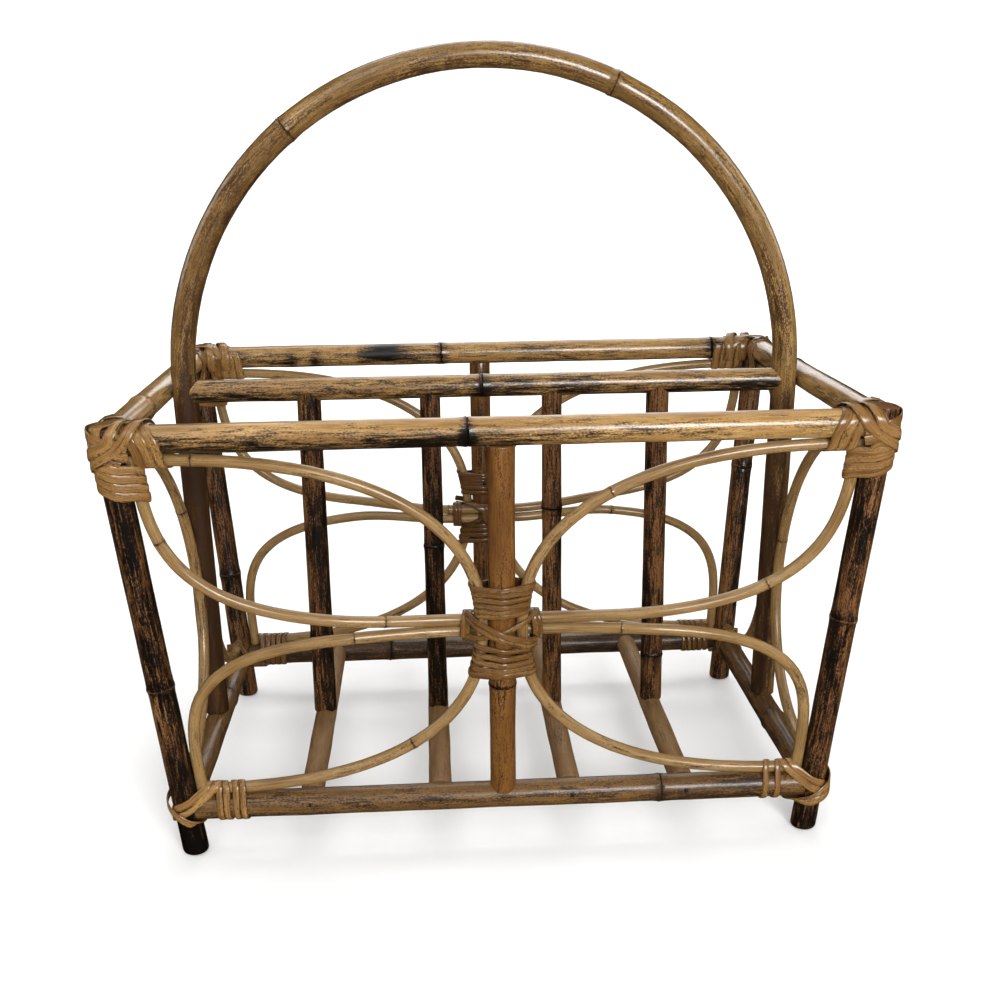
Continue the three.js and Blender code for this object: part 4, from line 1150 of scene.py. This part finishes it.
def lashings():
    for name_y, side_y in SIDES_Y:
        for name_x, side_x in SIDES_X:
            rim = rim_corner(*RIM_CORNERS[name_x])
            lashing(f"{name_y}_{name_x}_rim_lashing", rim, side_x, side_y,
                    corner_at(side_x, side_y, RIM_HEIGHT), split_skin)
            loops = BASE_BACK_LOOPS if side_y > 0 else BASE_DOUBLE_LOOPS if side_x < 0 else BASE_SINGLE_LOOPS
            base = base_corner(loops, 3 if side_x * side_y < 0 else 1)
            # The back base lashings take a darker copy of the split cane: painted shade.
            lashing(f"{name_y}_{name_x}_base_lashing", base, side_x, side_y,
                    corner_at(side_x, side_y, BASE_HEIGHT), split_skin if side_y < 0 else darker_split_and_shade)
        # The back middle lashing takes a darker copy again: painted shade.
        lashing(f"{name_y}_middle_lashing", middle_strips(), -1, side_y, panel_waist(side_y),
                darker_split_and_shade if side_y < 0 else shaded_split_skin)


# Nails and tacks.
NAIL_SIDES = 20
NAIL_RADIUS = 0.0009
NAIL_HEAD_RADIUS = 0.0019
NAIL_HEAD_THICKNESS = 0.0008
NAIL_HEAD_CROWN = 0.0003
NAIL_POINT_SHARE = 0.2
NAIL_SINK = 0.0002
SLAT_NAIL_LENGTH = 0.032
HANDLE_NAIL_LENGTH = 0.045
TACK_LENGTH = 0.008
TACK_SHARE = 0.75
TACK_PLACES = [("upper", 0.0215), ("lower", -0.0258)]  # from the waist along the post
TACK_ASIDE = 0.0016
FACES_END = 0.999


def nail(name, head_at, direction, length, replaced=None, share=1.0):
    """A wire nail with a low crowned head, driven from a point along a direction."""
    thickness = NAIL_HEAD_THICKNESS * share
    middle = (thickness / 2, 0, 0)
    piece = cylinder(name, NAIL_SIDES, NAIL_HEAD_RADIUS * share, thickness, middle, (0, QUARTER, 0))
    settle()
    mode("EDIT")
    pick("FACE", lambda face: face.normal.x < -FACES_END)
    round_off(NAIL_HEAD_CROWN)
    pick("FACE", lambda face: face.normal.x < -FACES_END)
    bpy.ops.mesh.inset(thickness=NAIL_HEAD_RADIUS * share / 2)
    bpy.ops.transform.translate(value=(-NAIL_HEAD_CROWN, 0, 0))
    pick("FACE", lambda face: face.normal.x > FACES_END)
    bpy.ops.mesh.inset(thickness=(NAIL_HEAD_RADIUS - NAIL_RADIUS) * share)
    bpy.ops.transform.translate(value=(length - thickness - NAIL_RADIUS, 0, 0))
    bpy.ops.mesh.inset(thickness=0)
    bpy.ops.transform.translate(value=(NAIL_RADIUS, 0, 0))
    bpy.ops.transform.resize(value=(1, NAIL_POINT_SHARE, NAIL_POINT_SHARE), center_override=(length, 0, 0))
    mode("OBJECT")
    stand(piece, head_at, direction)
    finish(piece, nail_steel, "nail", replaced, NAIL_SMOOTH_BELOW)


def nails():
    for name_y, side_y in SIDES_Y:
        for i, x in enumerate(SLAT_PLACES):
            start = Vector((x, side_y * (BASE_DEPTH / 2 + RAIL_RADIUS - NAIL_SINK), SLAT_HEIGHT))
            name = f"{name_y}_slat_nail_{i + 1}"
            nail(name + "_wire", start, Vector((0, -side_y, 0)), SLAT_NAIL_LENGTH, name)
        for key, place in TACK_PLACES:
            at = PANEL_OUT * (POST_RADIUS + OVER) + PANEL_UP * place
            nail(f"{name_y}_{key}_tack", panel_waist(side_y) + Vector((TACK_ASIDE, side_y * -at.y, at.z)),
                 Vector((0, side_y * PANEL_OUT.y, -PANEL_OUT.z)), TACK_LENGTH, share=TACK_SHARE)
    for name_x, side_x in SIDES_X:
        start = Vector((side_x * (RIM_LENGTH / 2 + RAIL_RADIUS - NAIL_SINK), 0, RIM_HEIGHT))
        name = f"{name_x}_handle_nail"
        nail(name + "_wire", start, Vector((-side_x, 0, 0)), HANDLE_NAIL_LENGTH, name)


frame_poles()
handle()
divider()
cane_work()
lashings()
nails()

# Floor, light and camera.
DISH_SIDES = 96
DISH_RADIUS = 3.6
DISH_HEIGHT = 3.0
DISH_CURVE = 1.6
DISH_LOOK = {"Base Color": (0.86, 0.86, 0.855), "Roughness": 0.85, "Specular IOR Level": 0.1}
WORLD_STRENGTH = 0.3
KEY_PLACE = (0.46, -1.7, 0.80)
KEY_RADIUS = 0.32
KEY_POWER = 106
# Each flat lamp's name, place, aim, width and power.
FLAT_LAMPS = [
    ("soft", (-0.9, -1.5, 1.9), (0, 0, 0.2), 1.2, 11),
    ("left side", (-2.3, 0.3, 1.2), (0, 0, 0.2), 1.2, 11),
    ("right side", (2.3, 0.3, 1.2), (0, 0, 0.2), 1.2, 11),
    ("back", (0.3, 2.3, 1.3), (0, 0, 0.2), 1.2, 12),
    ("backdrop", (0, 1.6, 2.4), (0, 3.0, 0.3), 1.6, 40),
    ("top", (0, 0.3, 3.4), (0, 0, 0), 3.0, 25),
]


def hang(name, kind, place, power):
    """A lamp at a place, unseen by the camera."""
    light = bpy.data.lights.new(name, kind)
    light.energy = power
    lamp = new_object(name, light)
    lamp.location = place
    lamp.visible_camera = False
    return lamp


def studio():
    """A pale floor that sweeps up all round, and soft lamps."""
    floor = cylinder("floor", DISH_SIDES, DISH_RADIUS, DISH_HEIGHT, (0, 0, DISH_HEIGHT / 2))
    settle()
    mode("EDIT")
    pick("FACE", lambda face: all(vert.co.z > DISH_HEIGHT / 2 for vert in face.verts))
    bpy.ops.mesh.delete(type="FACE")
    pick("EDGE", lambda edge: all(vert.co.z < DISH_HEIGHT / 2 for vert in edge.verts))
    round_off(DISH_CURVE, 20)
    bpy.ops.mesh.select_all(action="SELECT")
    bpy.ops.mesh.flip_normals()
    mode("OBJECT")
    bpy.ops.object.shade_smooth()
    material, tree, shader = new_material("pale floor")
    feed(tree, shader, DISH_LOOK)
    floor.data.materials.append(material)
    floor.visible_glossy = False

    world = bpy.data.worlds.new("studio")
    bpy.context.scene.world = world
    world.use_nodes = True
    tree = world.node_tree
    feed(tree, tree.nodes["Background"], {"Color": (1, 1, 1), "Strength": WORLD_STRENGTH})
    world.cycles_visibility.glossy = False
    bpy.context.scene.view_settings.view_transform = "Standard"
    hang("key", "POINT", KEY_PLACE, KEY_POWER).data.shadow_soft_size = KEY_RADIUS
    for name, place, aim, width, power in FLAT_LAMPS:
        lamp = hang(name, "AREA", place, power)
        lamp.data.size = width
        lamp.rotation_euler = (Vector(aim) - Vector(place)).to_track_quat("-Z", "Y").to_euler()


CAMERA_PLACE = (-0.03778, -0.80468, 0.41495)
CAMERA_TURNS = [(-3.1725, "Z"), (74.2842, "X"), (-0.6923, "Z")]  # degrees, in this order
CAMERA_LENS = 44.342
SENSOR_WIDTH = 36


def camera():
    lens = bpy.data.cameras.new("camera")
    lens.lens = CAMERA_LENS
    lens.sensor_width = SENSOR_WIDTH
    lens.sensor_fit = "HORIZONTAL"
    viewer = new_object("camera", lens)
    placed = Matrix.Translation(CAMERA_PLACE)
    for degrees, axis in CAMERA_TURNS:
        placed = placed @ Matrix.Rotation(radians(degrees), 4, axis)
    viewer.matrix_world = placed
    bpy.context.scene.camera = viewer


studio()
camera()
